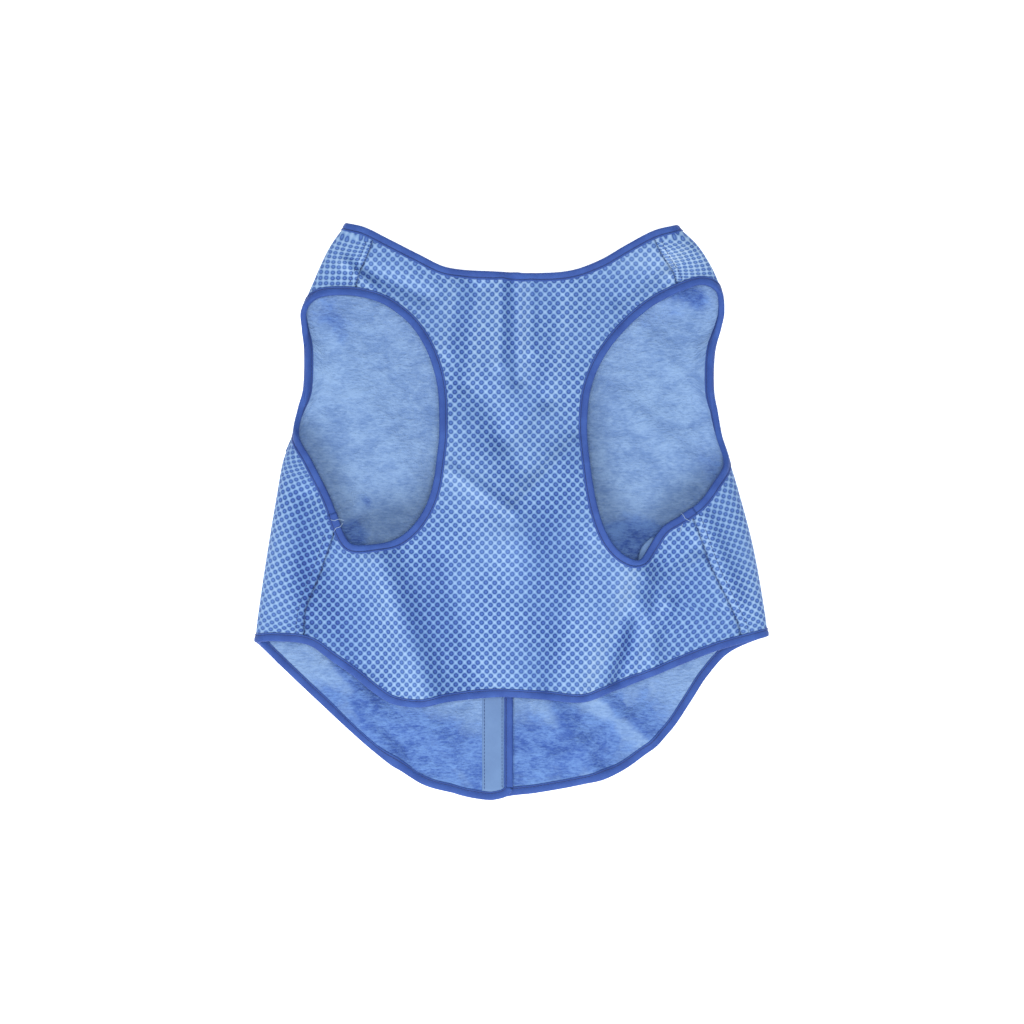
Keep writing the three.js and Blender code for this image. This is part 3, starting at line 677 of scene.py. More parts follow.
def mesh_cloth_material():
    material = new_material("mesh cloth", 0.8, sheen=0.05)
    cells = add(material, "ShaderNodeTexVoronoi", voronoi_dimensions="2D", inputs={
        "Vector": on_cloth(material, 45, (1 / DOT_PITCH, 1 / DOT_PITCH)),
        "Scale": 1.0, "Randomness": 0.1,
    })
    plain = on_cloth(material)
    wobble = noise(material, plain, 900, 1.0)
    edge = weighted_sum(material, (cells.outputs["Distance"], 1.0), (wobble, 0.06))
    dot = ramp(material, edge, 0.32, 0.44, 1.0, 0.0)
    shades = add(material, "ShaderNodeValToRGB", {"Fac": edge})
    stops = shades.color_ramp.elements
    while len(stops) < len(DOT_SHADES):
        stops.new(0.5)
    for stop, (place, color) in zip(stops, DOT_SHADES):
        stop.position = place
        stop.color = (*color, 1)
    wear = ramp(material, noise(material, plain, 16, 3.0), 0.3, 0.7, 0.0, 0.22)
    worn = mix_colors(material, wear, shades.outputs["Color"], (0.165, 0.295, 0.57))
    # Painted light and shade: the stored value sets a gamma that makes the net paler or darker
    depth = math_node(material, "MULTIPLY_ADD", read(material, "painted_shading"), -0.85, 1.85)
    painted_shading_color = add(material, "ShaderNodeGamma", {"Color": worn, "Gamma": depth}).outputs["Color"]
    knit = noise(material, plain, 1500, 2.0)
    relief = bump(material, knit, 0.00012, 0.7, Normal=bump(material, dot, -0.0003))
    finish_material(material, painted_shading_color, relief)
    return material


mesh_cloth = mesh_cloth_material()
print("outer finish:", mesh_cloth.name)

# %% [markdown]
# ## Plush lining
# The inside is short plush. It is mottled in soft clouds, with fine streaks where the pile lies
# in different directions. One noise makes the clouds, and two stretched ones the patches and
# streaks. Where the stored painted shade is high, the plush takes a darker blue: painted shade
# in the leg holes, under the hem and on slopes turned from the key lamp.

# %% Plush material
def plush_material():
    material = new_material("plush lining", 0.95, sheen=0.1)
    plain = on_cloth(material)
    cloud = noise(material, plain, 17, 4.0, 0.6)
    patch = noise(material, on_cloth(material, -25, (1, 1.6)), 60, 5.0, 0.68)
    streak = noise(material, on_cloth(material, 12, (1, 3.0)), 210, 4.0, 0.7)
    mottle = weighted_sum(material, (cloud, 0.22), (patch, 0.4), (streak, 0.38))
    lit_share = ramp(material, mottle, 0.38, 0.62)
    lit = mix_colors(material, lit_share, (0.13, 0.23, 0.47), (0.265, 0.405, 0.65))
    # A shaded copy of the plush, painted where the stored shade is high
    shaded_plush_share = ramp(material, mottle, 0.4, 0.6)
    shaded_plush = mix_colors(material, shaded_plush_share, (0.04, 0.1, 0.37), (0.15, 0.28, 0.6))
    ragged = math_node(material, "MULTIPLY_ADD", patch, 1.4, -0.7)
    pile_shade_amount = math_node(material, "ADD", read(material, "painted_pile_shade"), ragged)
    color = mix_colors(material, ramp(material, pile_shade_amount, 0.2, 0.8), lit, shaded_plush)
    pile = noise(material, plain, 700, 4.0, 0.7)
    soft = bump(material, patch, 0.004, 0.7)
    combed = bump(material, streak, 0.0008, 0.7, Normal=soft)
    finish_material(material, color, bump(material, pile, 0.0005, 0.8, Normal=combed))
    return material


plush = plush_material()
print("lining finish:", plush.name)

# %% [markdown]
# ## Binding tape, facing and thread
# The tape is a tight twill, so fine slanted ribs run over it. A wave texture on the tape's own
# UV map makes them. The facing is a smoother, paler tape with ribs along its length.

# %% Tape and thread materials
def twill_material(name, dark, light, turn, rib):
    material = new_material(name, 0.75, sheen=0.05)
    ribs = add(material, "ShaderNodeTexWave", wave_type="BANDS", bands_direction="X", inputs={
        "Vector": on_cloth(material, turn), "Scale": rib, "Distortion": 0.6, "Detail": 1.0,
    }).outputs["Fac"]
    grain = noise(material, on_cloth(material), 60, 4.0, 0.6)
    share = ramp(material, weighted_sum(material, (ribs, 0.3), (grain, 0.7)), 0.3, 0.75)
    color = mix_colors(material, share, dark, light)
    finish_material(material, color, bump(material, ribs, 0.00012, 0.6))
    return material


def paint_groove_shade(material, places):
    """Paints shade into a twill along the grooves of its sewn lines, at these widths across the tape
    in millimetres.
    """
    shader = material.node_tree.nodes["Principled BSDF"]
    color = shader.inputs["Base Color"].links[0].from_socket
    across = add(material, "ShaderNodeSeparateXYZ", {"Vector": on_cloth(material)})
    near = None
    for place in places:
        offset = math_node(material, "SUBTRACT", across.outputs["Y"], place * MM)
        line = ramp(material, math_node(material, "ABSOLUTE", offset), 0.0002, 0.0007, 1.0, 0.0)
        near = line if near is None else math_node(material, "MAXIMUM", near, line)
    share = math_node(material, "MULTIPLY", near, 0.75)
    groove_shaded = mix_colors(material, share, color, (0.012, 0.03, 0.14))
    join(material, groove_shaded, shader.inputs["Base Color"])


binding_twill = twill_material("binding twill", (0.017, 0.054, 0.26), (0.043, 0.112, 0.4), 50, 420)
facing_twill = twill_material("facing tape", (0.118, 0.208, 0.405), (0.152, 0.26, 0.475), 90, 500)
# The thread's dark navy is partly its own colour and partly painted shade of the grooves that the
# stitches sink into
thread_twist = twill_material("sewing thread", (0.012, 0.03, 0.13), (0.03, 0.065, 0.22), 30, 900)
pale_thread = twill_material("loose thread", (0.3, 0.42, 0.62), (0.42, 0.52, 0.68), 30, 900)
hook_tape = twill_material("fastening tape", (0.07, 0.14, 0.34), (0.12, 0.21, 0.42), 0, 800)
# Painted shade in the stitched grooves of the binding
paint_groove_shade(binding_twill, (1.85, 16.95))
print("tapes:", binding_twill.name, facing_twill.name, hook_tape.name)

# %% [markdown]
# ## Laying a flat grid on the vest
# A grid from bmesh is the flat cloth. Each of its vertices gets a place and a height on the vest,
# the faces inside a leg hole are deleted, and the vertices round the hole move onto its cut line.
# Then every vertex is laid at its spot.

# %% From a grid to cloth
def flat_grid(columns, rows):
    bm = bmesh.new()
    bm.loops.layers.uv.new("cloth")
    bmesh.ops.create_grid(bm, x_segments=columns, y_segments=rows, size=0.5)
    shares = np.array([v.co[:2] for v in bm.verts]) + 0.5
    return bm, shares[:, 0], shares[:, 1]


def index(share, count):
    """Which of so many rows a share of the way lies on."""
    return np.rint(share * (count - 1)).astype(int)


def lay(bm, points, flat):
    """Puts each vertex at its point, in metres, and gives the cloth its UV map."""
    points = (points + SHIFT) * MM
    flat = flat * MM
    uv = bm.loops.layers.uv["cloth"]
    bm.verts.index_update()
    for vertex in bm.verts:
        vertex.co = points[vertex.index]
    for face in bm.faces:
        face.smooth = True
        for loop in face.loops:
            loop[uv].uv = flat[loop.vert.index]


def to_object(bm, name, material, thickness=0.0):
    mesh = bpy.data.meshes.new(name)
    bm.to_mesh(mesh)
    bm.free()
    mesh.materials.append(material)
    piece = bpy.data.objects.new(name, mesh)
    bpy.context.scene.collection.objects.link(piece)
    if thickness:
        wall = piece.modifiers.new("thickness", "SOLIDIFY")
        wall.thickness = thickness * MM
        wall.offset = -1
    return piece


def inside_loop(w, y, loop_w, loop_y):
    """Whether each spot lies inside a closed line on the flat pattern."""
    inside = np.zeros(len(w), bool)
    next_w, next_y = np.roll(loop_w, -1), np.roll(loop_y, -1)
    for aw, ay, bw, by in zip(loop_w, loop_y, next_w, next_y):
        if ay == by:
            continue
        crossing = (ay > y) != (by > y)
        inside ^= crossing & (w < (bw - aw) * (y - ay) / (by - ay) + aw)
    return inside


def cut_hole(bm, w, y, loop):
    """Moves the vertices round a leg hole onto its cut line, and returns the faces inside it."""
    bm.verts.index_update()
    inside = inside_loop(w, y, *loop)
    doomed = [face for face in bm.faces if inside[[v.index for v in face.verts]].sum() >= 3]
    doomed_set = set(doomed)
    rim = {v for face in doomed for v in face.verts}
    border = [v.index for v in rim if any(f not in doomed_set for f in v.link_faces)]
    here, line = outside(w[border], y[border]), outside(*loop)
    near = ((here[:, None] - line[None]) ** 2).sum(-1).argmin(1)
    w[border], y[border] = loop[0][near], loop[1][near]
    return doomed


# %% Spots of a panel between two edges
CUT_DOWN = BINDING_WIDTH * 0.4 / VEST_LENGTH


def panel_spots(u, v, start_place, end_place):
    """start_place and end_place give the place at each height. Columns lie evenly over the cloth."""
    columns = np.unique(u)
    grid = np.zeros((len(HEIGHTS), len(columns)))
    for j, height in enumerate(HEIGHTS):
        y = np.array([height])
        marks = mix(cloth_length(start_place(y), y), cloth_length(end_place(y), y), columns)
        left = np.interp(np.abs(marks), LENGTHS[-1][j], PLACES)
        right = np.interp(np.abs(marks), LENGTHS[1][j], PLACES)
        grid[j] = np.where(marks < 0, -left, right)
    y = mix(y_at(0.8), y_at(0.05), v)
    w = between(grid, columns, u, y)
    for _ in range(25):
        low, high = edge_height(HEM, w, y, -CUT_DOWN), edge_height(NECK, w, y, CUT_DOWN)
        y = mix(y, mix(low, high, v), 0.7)
        w = between(grid, columns, u, y)
    return w, y


def seam_place(side):
    column = SEAMS[:, 1 if side < 0 else 2]
    return lambda y: place_of(HALF_HEM * along(SEAMS[:, 0], column, down_at(y)), y)


print("seam on the left at mid height:", seam_place(-1)(np.array([0.0])))

# %% [markdown]
# ## Belly panel
# The belly panel is one layer of mesh cloth from the neckline, between the leg holes, to the
# front hem. Its long sides are sewn to the back panels, and the cloth dips into that seam and
# puckers beside it. Light and shade are painted into the net: paler where it leans to the lower
# left, darker where it leans away, and in patches that a table lists, all stored at each vertex.

# %% Painted light and shade on the net: across, down, half width, half height, painted shading (above 0 paler)
PAINTED_NET_SHADING = [
    (0.141, 0.549, 20.0, 50.0, -0.17),
    (-0.765, 0.584, 15.0, 60.0, -0.4),
    (-0.61, 0.65, 16.0, 34.0, -0.14),
    (-0.93, 0.584, 12.0, 60.0, 0.1),
    (-0.466, 0.653, 12.0, 30.0, 0.16),
    (-0.365, 0.756, 12.0, 24.0, 0.14),
    (-0.285, 0.6, 13.0, 45.0, -0.13),
    (-0.15, 0.45, 30.0, 20.0, 0.1),
    (-0.02, 0.2, 45.0, 30.0, 0.05),
    (-0.688, 0.057, 22.0, 18.0, 0.12),
    (0.694, 0.057, 26.0, 20.0, 0.34),
    (0.5, 0.069, 22.0, 12.0, 0.2),
    (0.936, 0.635, 10.0, 50.0, 0.12),
    (0.694, 0.653, 22.0, 42.0, -0.12),
    (0.441, 0.63, 11.0, 22.0, 0.16),
    (0.315, 0.756, 9.0, 28.0, 0.16),
    (0.452, 0.73, 6.0, 15.0, -0.26),
    (0.56, 0.722, 8.0, 20.0, 0.1),
    (-0.4, 0.7, 75.0, 50.0, -0.2),
    (0.12, 0.72, 45.0, 45.0, -0.04),
    (0.6, 0.68, 55.0, 50.0, -0.06),
]


# The side and upward step of the slope that sets the painted light and shade, and the run between
# both ends
LEAN_X, LEAN_Y, LEAN_RUN = 0.68, 0.42, 1.6
PAINTED_SHADE_LIMIT, PAINTED_LIGHT_LIMIT = 0.5, 1.6


def patches(x, y, table):
    total = np.zeros_like(x)
    for across, down, half_width, half_height, strength in table:
        offset = ((x - across * HALF_HEM) / half_width) ** 2 + ((y - y_at(down)) / half_height) ** 2
        total += strength * np.exp(-offset)
    return total


def lean(rise, x, y):
    """How steeply a relief leans to the lower left, the side from which the painted light comes."""
    return (rise(x + LEAN_X, y + LEAN_Y) - rise(x - LEAN_X, y - LEAN_Y)) / LEAN_RUN


def painted_net_shading(w, y):
    x = outside(w, y)[:, 0]
    # Painted light where the cloth faces the lower left, painted shade where it faces away, and the
    # table's painted patches
    painted_lean_shading = 0.46 * np.clip(lean(belly_rise, x, y), -0.5, 0.35)
    painted_shading = 1.0 + np.where(np.abs(w) < 1.2, patches(x, y, PAINTED_NET_SHADING) + painted_lean_shading, 0)
    return np.clip(painted_shading, PAINTED_SHADE_LIMIT, PAINTED_LIGHT_LIMIT)


def paint(bm, name, values):
    """Stores one number for each vertex, for the finish to read."""
    layer = bm.verts.layers.float.new(name)
    for vertex, value in zip(bm.verts, values):
        vertex[layer] = value


# %% Belly panel
def seam_dip(distance, along_seam):
    """How far the cloth lies below its own surface near a seam, by the distance from it."""
    groove = 0.9 * np.exp(-((distance / 1.5) ** 2))
    waves = np.sin(along_seam / 1.9 + 1.5 * np.sin(along_seam / 11))
    return groove + 0.28 * np.exp(-distance / 7) * (1 + waves)


def from_seam(side, w, y):
    """The distance over the cloth from the seam on one side."""
    return np.abs(cloth_length(w, y) - cloth_length(seam_place(side)(y), y))


bm, u, v = flat_grid(124, 156)
w, y = panel_spots(u, v, seam_place(-1), seam_place(1))
# Painted light and shade for the net, stored at each vertex
paint(bm, "painted_shading", painted_net_shading(w, y))
doomed = cut_hole(bm, w, y, cuts[-1]) + cut_hole(bm, w, y, cuts[1])
dip = seam_dip(np.minimum(from_seam(-1, w, y), from_seam(1, w, y)), y)
lay(bm, wall_point(w, y, dip), np.stack([cloth_length(w, y), y], axis=-1))
bmesh.ops.delete(bm, geom=list(set(doomed)), context="FACES")
belly_panel = to_object(bm, "belly_panel_cloth", mesh_cloth, CLOTH)
print("belly panel faces:", len(belly_panel.data.polygons))

# %% [markdown]
# ## Back panels and their lining
# Each back panel starts at the shoulder seam and the side seam, wraps round the side fold and
# lies flat under the vest as far as the closure. The plush lining is a second sheet inside it.
# The back is cut straight, so where it folds over to the front its lattice of dots is turned.

# %% Where shade is painted into the lining: across, down, half width, half height, strength
PILE_SHADE_PATCHES = [
    (0.461, 0.558, 30.4, 20.8, 1.6),
    (-0.63, 0.549, 12.8, 16.0, 1.3),
    (0.655, 0.135, 30.4, 16.0, 0.7),
    (-0.727, 0.161, 22.4, 24.0, 0.5),
    (0.792, 0.428, 14.4, 24.0, 0.5),
    (-0.533, 0.886, 44.0, 30.4, 1.1),
    (-0.708, 0.808, 24.0, 20.0, 0.7),
    (0.0, 0.91, 170.0, 36.0, 0.3),
    (-0.279, 0.929, 48.0, 24.0, 0.6),
    (0.188, 0.912, 48.0, 36.0, 0.9),
    (0.538, 0.843, 36.0, 36.0, 0.5),
    (-0.124, 0.981, 32.0, 16.0, 0.5),
]


# Painted shade on the plush: the table's patches, darker where the back's folds turn from the key
# lamp and paler where they face it
def painted_pile_shade(w, y):
    x = outside(w, y)[:, 0]
    return patches(x, y, PILE_SHADE_PATCHES) - 1.2 * np.clip(lean(back_rise, x, y), -0.6, 0.3)


# %% Back panels and linings
def fold_turn(side, y):
    """How far the side fold leans off the vest's length, at each height."""
    fold = np.full_like(y, side * 1.5)
    ahead, behind = outside(fold, y + 15)[..., 0], outside(fold, y - 15)[..., 0]
    return np.arctan((ahead - behind) / 30)


def back_coordinates(side, w, y):
    """The back is cut straight, so past the side fold its pattern lies mirrored in that fold."""
    fold = np.full_like(y, side * 1.5)
    reach = np.abs(cloth_length(fold, y)) - np.abs(cloth_length(w, y))
    turn = 2 * fold_turn(side, y)
    wrapped = reach > 0
    across = outside(fold, y)[..., 0] + side * reach * np.where(wrapped, np.cos(turn), 1)
    return np.stack([across, y - side * reach * np.where(wrapped, np.sin(turn), 0)], axis=-1)


def back_sheet(name, side, material, thickness, depth):
    """The outer cloth dips and puckers at its seam. The lining under it only bends there."""
    closure = lambda y: side * (CLOSURE_PLACE - EDGE_GAP) + 0 * y
    ends = (seam_place(side), closure) if side > 0 else (closure, seam_place(side))
    bm, u, v = flat_grid(104, 150)
    w, y = panel_spots(u, v, *ends)
    # Painted light and shade for the net and painted shade for the plush, stored at each vertex
    paint(bm, "painted_shading", painted_net_shading(w, y))
    paint(bm, "painted_pile_shade", painted_pile_shade(w, y))
    doomed = cut_hole(bm, w, y, cuts[side])
    distance = from_seam(side, w, y)
    dip = 0.4 * np.exp(-((distance / 2) ** 2)) if depth else seam_dip(distance, y)
    lay(bm, wall_point(w, y, depth + dip), back_coordinates(side, w, y))
    bmesh.ops.delete(bm, geom=doomed, context="FACES")
    return to_object(bm, name, material, thickness)


SIDES = {"left": -1, "right": 1}
EDGE_GAP = 0.08
back_left, back_right = (
    back_sheet(f"back_panel_{name}_cloth", side, mesh_cloth, CLOTH, 0.0)
    for name, side in SIDES.items()
)
lining_left, lining_right = (
    back_sheet(f"back_lining_{name}_plush", side, plush, LINING, CLOTH + CLEARANCE)
    for name, side in SIDES.items()
)
print("back panel faces:", len(back_left.data.polygons), len(back_right.data.polygons))

# %% [markdown]
# ## Bindings
# A binding is one strip of tape folded in half over the raw edge and sewn through both flaps. So
# it is a grid again: one side of the grid follows the edge, and the other runs from the outer
# flap over the edge to the inner flap.

# %% Folded tape along an edge: reach in from the edge, depth below the outside
FOLDED_TAPE = np.array([
    (7.1, -0.35), (6.6, -0.75), (5.9, -0.72), (5.3, -0.35), (4.7, -0.75), (3.4, -1.1),
    (2.0, -1.2), (0.9, -1.05), (0.3, -0.6), (0.0, 0.2), (0.0, 1.25), (0.0, 2.3), (0.3, 3.1),
    (0.9, 3.55), (2.0, 3.7), (3.4, 3.6), (4.7, 3.25), (5.3, 2.85), (5.9, 3.22), (6.6, 3.25),
    (7.1, 2.85),
])


def binding(name, path, closed, sign, swell=0.0):
    """Swell lays a second layer of tape over the first, as where its two ends lap."""
    w, y = path
    headings = cloth_headings(path, closed, sign)
    rings = []
    for reach, depth in FOLDED_TAPE:
        reach = reach - swell if reach < 1 else reach + swell / 2
        depth = depth + math.copysign(swell, depth - WALL / 2)
        spot = walk(w, y, headings, reach) if reach else (w, y)
        rings.append(wall_point(*spot, depth))
    rings = np.stack(rings, axis=1)
    if closed:
        rings = np.concatenate([rings, rings[:1]], axis=0)
    length, width = running_length(rings[:, 10]), running_length(FOLDED_TAPE)

    bm, u, v = flat_grid(len(FOLDED_TAPE) - 1, len(rings) - 1)
    i, k = index(v, len(rings)), index(u, len(FOLDED_TAPE))
    lay(bm, rings[i, k], np.stack([length[i], width[k]], axis=-1))
    if closed:
        bmesh.ops.remove_doubles(bm, verts=bm.verts, dist=1e-6)
    bm.normal_update()
    outward = Vector(-inward_normal(w[:1], y[:1])[0])
    start = Vector((rings[0, 6] + SHIFT) * MM)
    first = min(bm.faces, key=lambda face: (face.calc_center_median() - start).length)
    if first.normal.dot(outward) < 0:
        bmesh.ops.reverse_faces(bm, faces=bm.faces)
    piece = to_object(bm, name, binding_twill, 0.5)
    print(name, "is", round(length[-1]), "mm of tape,", len(piece.data.polygons), "faces")
    return piece


tapes = [binding(name.format("binding") + "_tape", *edge) for name, edge in EDGES.items()]

# %% [markdown]
# ## Facing and fastening tape
# A smooth strip covers the stitching beside the visible closure edge. The fastening tape lies
# hidden between the lapped panels and carries the closure.

# %% Facing and fastening tape
def flap_place(x):
    """The place at this x on the flap, where the left panel laps over the right one."""
    return 4 + (x - RIGHT_EDGE_X + RAMP_GAP) / (LEFT_EDGE_X - RIGHT_EDGE_X + RAMP_GAP)


def closure_strip(name, inner_x, outer_x, depth, material, thickness, columns):
    bm, u, v = flat_grid(columns, 140)
    w = -mix(flap_place(inner_x), flap_place(outer_x), u)
    y = mix(*hem_and_neck(w, STRIP_END), v)
    wave = 0.12 * np.sin(y / 13) * np.sin(u * math.pi)
    lay(bm, wall_point(w, y, depth + wave), np.stack([u * (outer_x - inner_x), y], axis=-1))
    return to_object(bm, name, material, thickness)


STRIP_END, ROW_END = 6.5, 7
FASTENING_INNER, FASTENING_OUTER = -22.0, -7.0
facing = closure_strip(
    "closure_facing_tape", FACING_OUTER - FACING_WIDTH, FACING_OUTER, WALL + CLEARANCE,
    facing_twill, 0.7, 16,
)
fastening = closure_strip(
    "closure_fastening_tape", FASTENING_INNER, FASTENING_OUTER, -1.7, hook_tape, 1.3, 14,
)
print("facing and fastening tape faces:", len(facing.data.polygons), len(fastening.data.polygons))

# %% [markdown]
# ## Small traces of sewing
# The two ends of each leg hole's tape lap beside the side seam, and pale ends of thread stick out
# there. At the bottom of the right leg hole the tape is turned back, and its inner flap shows.

# %% Thread ends: side, x and y nearby, and points as reach from the edge, spots ahead, height
THREAD_ENDS = [
    (1, 137, -6, [(-1.5, 0, -2.0), (0.5, 0, 1.9), (4, 0, 1.9), (7.5, 1, 1.5), (9, 1, 0.9)]),
    (1, 134, -7, [(6.5, 0, 1.4), (8.5, -1, 1.2), (10.5, -2, 1.4), (11.5, -3, 0.8)]),
    (-1, -137, -12, [(-2.5, 1, -1.0), (0.5, 0, 2.0), (4, 0, 1.9), (7, -1, 1.4)]),
    (-1, -139, -8, [(-3.5, 0, -2.0), (-0.5, 1, 1.6), (3, 1, 1.9), (6, 2, 1.6)]),
]

# %% Laps, a turned flap and thread ends
def part_of(path, x, y, length):
    """The stretch of a path round the spot nearest to x and y."""
    points = outside(*path)
    middle = ((points[:, :2] - [x, y]) ** 2).sum(-1).argmin()
    steps = np.arange(-round(length / 4), round(length / 4) + 1)
    chosen = (middle + steps) % len(points)
    return path[0][chosen], path[1][chosen]


def one_step(w, y, headings, j, reach):
    """Walks from a single spot of a path."""
    return walk(w[j:j + 1], y[j:j + 1], headings[j:j + 1], reach)


laps = [
    binding(f"leg_hole_lap_{name}", part_of(hole_paths[side], *spot, 11), False, side, 0.45)
    for (name, side), spot in zip(SIDES.items(), [(-139, -6), (141, -4)])
]


def turned_flap(name, path, sign, width, drop, rows=7):
    """A strip of facing that curls out of the edge and back, and sinks toward its free side."""
    w, y = path
    headings = cloth_headings(path, False, sign)
    bm, u, v = flat_grid(rows - 1, len(w) - 1)
    curl = -width * np.sin(np.linspace(0.05, 1, len(w)) * 2.9)
    reach = np.stack([mix(2.0, curl, t) for t in np.linspace(0, 1, rows)])
    points = np.zeros((rows, len(w), 3))
    for k in range(rows):
        for j in range(len(w)):
            spot = one_step(w, y, headings, j, reach[k, j])
            points[k, j] = wall_point(*spot, WALL + 0.4 + drop * k / (rows - 1))[0]
    i, k = index(v, len(w)), index(u, rows)
    lay(bm, points[k, i], np.stack([2.0 * i, reach[k, i]], axis=-1))
    return to_object(bm, name, facing_twill, 0.5)


flap = turned_flap("leg_hole_turned_flap", part_of(hole_paths[1], 111, -33, 26), 1, 4.2, 3.0)


def thread_end(name, points):
    """A short twisted end of thread through a few points on the vest."""
    points = np.array(points, float)
    marks = np.linspace(0, len(points) - 1, 15)
    spots = np.arange(len(points))
    path = np.stack([along(spots, column, marks) for column in points.T], axis=1)
    tangent = unit(np.gradient(path, axis=0))
    side = unit(np.cross(tangent, [0.2, 0.1, 1.0]))
    up = np.cross(side, tangent)
    bm, u, v = flat_grid(6, len(path) - 1)
    i = index(v, len(path))
    radius = 0.24 * (1 - 0.6 * v**6)
    turn = (2 * math.pi * u)[:, None]
    ring = np.cos(turn) * side[i] + np.sin(turn) * up[i]
    lay(bm, path[i] + radius[:, None] * ring, np.stack([u * 1.5, v * 8], axis=-1))
    bmesh.ops.remove_doubles(bm, verts=bm.verts, dist=1e-6)
    bmesh.ops.recalc_face_normals(bm, faces=bm.faces)
    return to_object(bm, name, pale_thread)


def on_hole(side, x, y, offsets):
    """Points over the cloth near a leg hole."""
    w, h = part_of(hole_paths[side], x, y, 16)
    headings = cloth_headings((w, h), False, side)
    points = []
    for reach, ahead, height in offsets:
        spot = one_step(w, h, headings, len(w) // 2 + ahead, reach)
        points.append(wall_point(*spot, -height)[0])
    return points


threads = [
    thread_end(f"thread_end_{number}", on_hole(*row)) for number, row in enumerate(THREAD_ENDS, 1)
]
print("laps, flap and thread ends:", len(laps) + 1 + len(threads))

# %% [markdown]
# ## Stitches
# Every tape is held by one row of lockstitch, 5.3 millimetres from its folded edge, and it shows
# on both faces. Two rows run along each seam and one down each side of the facing. Each stitch
# is a tiny squashed ball of a few dozen faces, laid along the row.

# %% Topstitching at the seams: side, down, to down, out from the seam, spacing, size
SEAM_ROWS = [
    (-1, 0.535, 0.715, 6.5, 3.4, 1.15), (1, 0.5, 0.715, 6.5, 3.4, 1.15),
    (-1, 0.03, 0.112, 5.0, 3.4, 1.15), (1, 0.028, 0.112, 5.0, 3.4, 1.15),
    (-1, 0.535, 0.72, 0.0, 2.6, 0.8), (1, 0.5, 0.72, 0.0, 2.6, 0.8),
    (-1, 0.03, 0.112, 0.0, 2.6, 0.8), (1, 0.028, 0.112, 0.0, 2.6, 0.8),
]

# %% Rows of stitches
STITCH_HALVES = (1.15, 0.27, 0.2)
STITCH_SPACING = 2.8
TAPE_ROW = 5.3
BATCH = 60


def stitch_row(bm, w, y, depth, spacing=STITCH_SPACING, size=1.0):
    points = wall_point(w, y, depth)
    length = running_length(points)
    marks = np.arange(spacing, length[-1] - spacing, spacing)

    def at(marks, columns):
        return np.stack([np.interp(marks, length, column) for column in columns.T], axis=1)

    rows = zip(at(marks, points), at(marks + 0.4, points), at(marks, -inward_normal(w, y)))
    shape = Matrix.Diagonal((*(half * MM * size for half in STITCH_HALVES), 1))
    batch = bmesh.new()
    scrap = bpy.data.meshes.new("scrap")
    for i, (place, ahead, up) in enumerate(rows):
        tangent = Vector(ahead - place).normalized()
        side = Vector(up).cross(tangent).normalized()
        turn = Matrix((tangent, side, tangent.cross(side))).transposed().to_4x4()
        shift = Matrix.Translation(Vector(place + SHIFT) * MM)
        bmesh.ops.create_uvsphere(
            batch, u_segments=6, v_segments=4, radius=1, matrix=shift @ turn @ shape,
            calc_uvs=False,
        )
        if i % BATCH == BATCH - 1 or i == len(marks) - 1:
            batch.to_mesh(scrap)
            bm.from_mesh(scrap)
            batch.clear()
    batch.free()
    bpy.data.meshes.remove(scrap)
    return len(marks)


def stitches(name, rows):
    bm = bmesh.new()
    bm.loops.layers.uv.new("cloth")
    count = sum(stitch_row(bm, *row) for row in rows)
    uv = bm.loops.layers.uv["cloth"]
    for face in bm.faces:
        face.smooth = True
        for loop in face.loops:
            loop[uv].uv = (loop.vert.co.x + loop.vert.co.z, loop.vert.co.y)
    piece = to_object(bm, name, thread_twist)
    print(name, "has", count, "stitches")
    return piece


def tape_rows(*edge):
    w, y = inset(*edge, TAPE_ROW)
    return [(w, y, -0.5), (w, y, WALL + 0.5)]


neck_stitches, hem_stitches, *hole_stitches = (
    stitches(name.format("stitches"), tape_rows(*edge))
    for name, edge in EDGES.items() if "closure" not in name
)


def seam_row(side, top, bottom, offset, spacing, size):
    """A row of topstitching beside the shoulder or side seam, this far out from it."""
    y = np.linspace(y_at(top), y_at(bottom), 60)
    w = seam_place(side)(y)
    w, y = walk(w, y, unit(directions(w, y)[0]) * side, offset)
    return w, y, 0.0, spacing, size


seam_stitches = stitches("seam_stitches", [seam_row(*row) for row in SEAM_ROWS])


def facing_row(x):
    """A row down the facing, at this x, on the vest's inner face."""
    w = np.full(100, -flap_place(x))
    low, high = hem_and_neck(w, ROW_END)
    return w, np.linspace(low[0], high[0], 100), WALL + CLEARANCE + 0.55


closure_stitches = stitches("closure_stitches", [
    *tape_rows(closure_path(-1), False, -1), *tape_rows(closure_path(1), False, 1),
    facing_row(FACING_OUTER - FACING_WIDTH + 1.8), facing_row(FACING_OUTER - 1.4),
])

# %% [markdown]
# ## Telling the frame about the pieces
# Each piece rides on the vest's only body and stands for its solid.

# %% Riding and replacing
pairs = [
    (belly_panel, "belly_panel", "mesh_cloth"),
    (back_left, "back_panel_left", "mesh_cloth"),
    (back_right, "back_panel_right", "mesh_cloth"),
    (lining_left, "back_lining_left", "lining"),
    (lining_right, "back_lining_right", "lining"),
    *((tape, name.format("binding"), "binding") for tape, name in zip(tapes, EDGES)),
    (facing, "closure_facing", "facing"),
    (fastening, "closure_tape", "fastening_tape"),
]
for piece, node, slot in pairs:
    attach(piece, "root")
    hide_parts(node)
seam_pieces = [seam_stitches, *laps, flap, *threads]
for piece in (neck_stitches, hem_stitches, *hole_stitches, closure_stitches, *seam_pieces):
    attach(piece, "root")


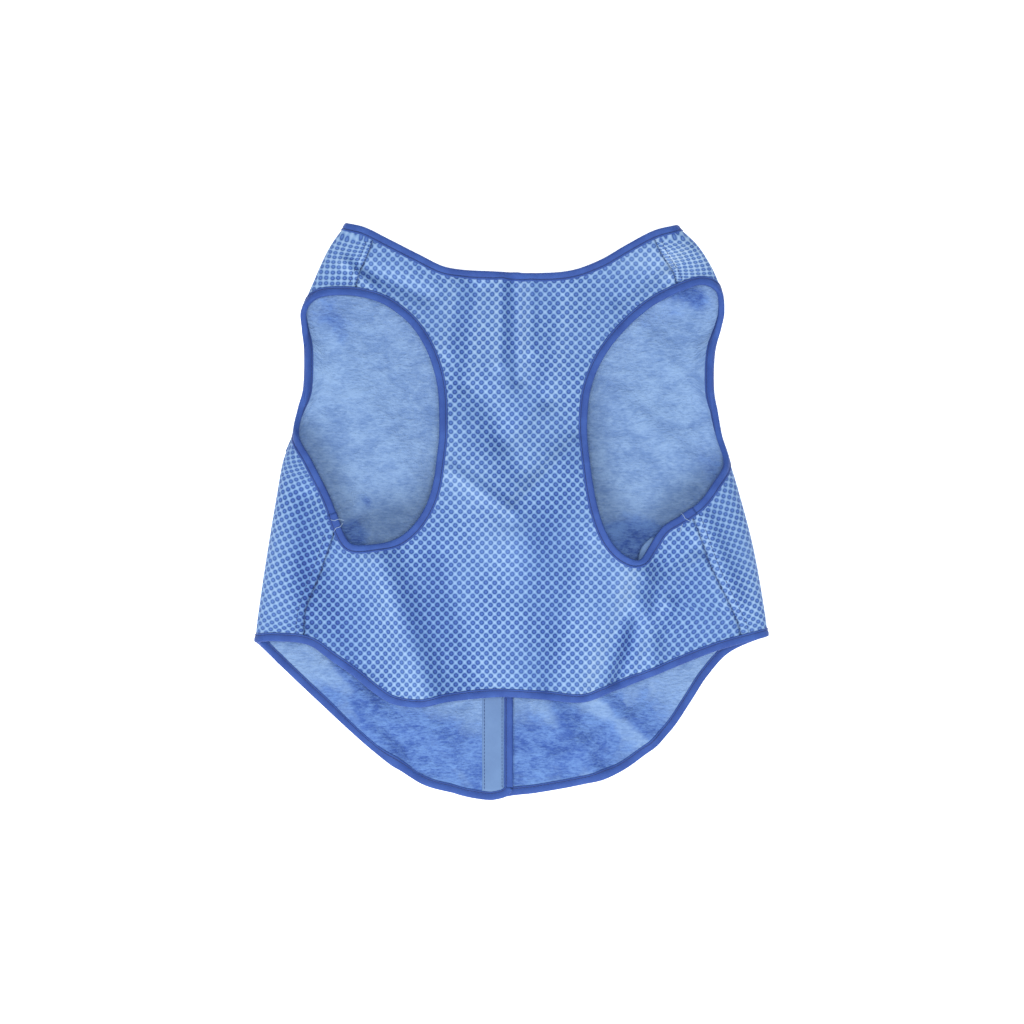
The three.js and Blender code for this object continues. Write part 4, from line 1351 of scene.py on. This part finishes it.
# %% [markdown]
# ## Floor, light and camera
# The vest lies on plain white, and the floor glows faintly. One soft lamp hangs straight above,
# and the key lamp stands beyond the hem, so that folds show but few shadows do. A pale blue sky
# fills them. The camera looks straight down from far above, so it sees little perspective.

# %% Floor, light and camera
bm = bmesh.new()
bmesh.ops.create_grid(bm, x_segments=1, y_segments=1, size=3.0)
floor_white = new_material("floor white", 1.0)
floor_shader = floor_white.node_tree.nodes["Principled BSDF"]
for name, value in {
    "Base Color": (0.95, 0.95, 0.95), "Emission Color": (1, 1, 1), "Emission Strength": 0.7,
}.items():
    join(floor_white, value, floor_shader.inputs[name])
floor = to_object(bm, "floor", floor_white)


def soft_lamp(name, place, size, power):
    data = bpy.data.lights.new(name, "AREA")
    data.shape = "DISK"
    data.size = size
    data.energy = power
    lamp = bpy.data.objects.new(name, data)
    lamp.location = place
    lamp.rotation_euler = (-Vector(place)).to_track_quat("-Z", "Y").to_euler()
    bpy.context.scene.collection.objects.link(lamp)


soft_lamp("overhead", (0.05, 0.05, 4.2), 0.9, 98)
soft_lamp("key", (-0.45, -2.4, 2.7), 1.7, 92)
world = bpy.data.worlds.new("pale sky")
bpy.context.scene.world = world
world.use_nodes = True
sky = world.node_tree.nodes["Background"]
sky.inputs["Color"].default_value = (0.66, 0.84, 1.0, 1)
sky.inputs["Strength"].default_value = 0.34
bpy.context.scene.view_settings.view_transform = "Standard"

CAMERA_HEIGHT = 3.2
FOCUS_HEIGHT = 0.02
SENSOR_WIDTH = 36
PIXEL, PICTURE_PIXELS = 0.8, 1024
CAMERA_SHIFT = (0.2, -0.3)
PHOTO_WIDTH = PICTURE_PIXELS * PIXEL * MM
camera_data = bpy.data.cameras.new("camera")
camera_data.sensor_width = SENSOR_WIDTH
camera_data.lens = SENSOR_WIDTH * (CAMERA_HEIGHT - FOCUS_HEIGHT) / PHOTO_WIDTH
camera = bpy.data.objects.new("camera", camera_data)
camera.location = (
    (SHIFT[0] + CAMERA_SHIFT[0]) * MM, (SHIFT[1] + CAMERA_SHIFT[1]) * MM, CAMERA_HEIGHT,
)
bpy.context.scene.collection.objects.link(camera)
bpy.context.scene.camera = camera
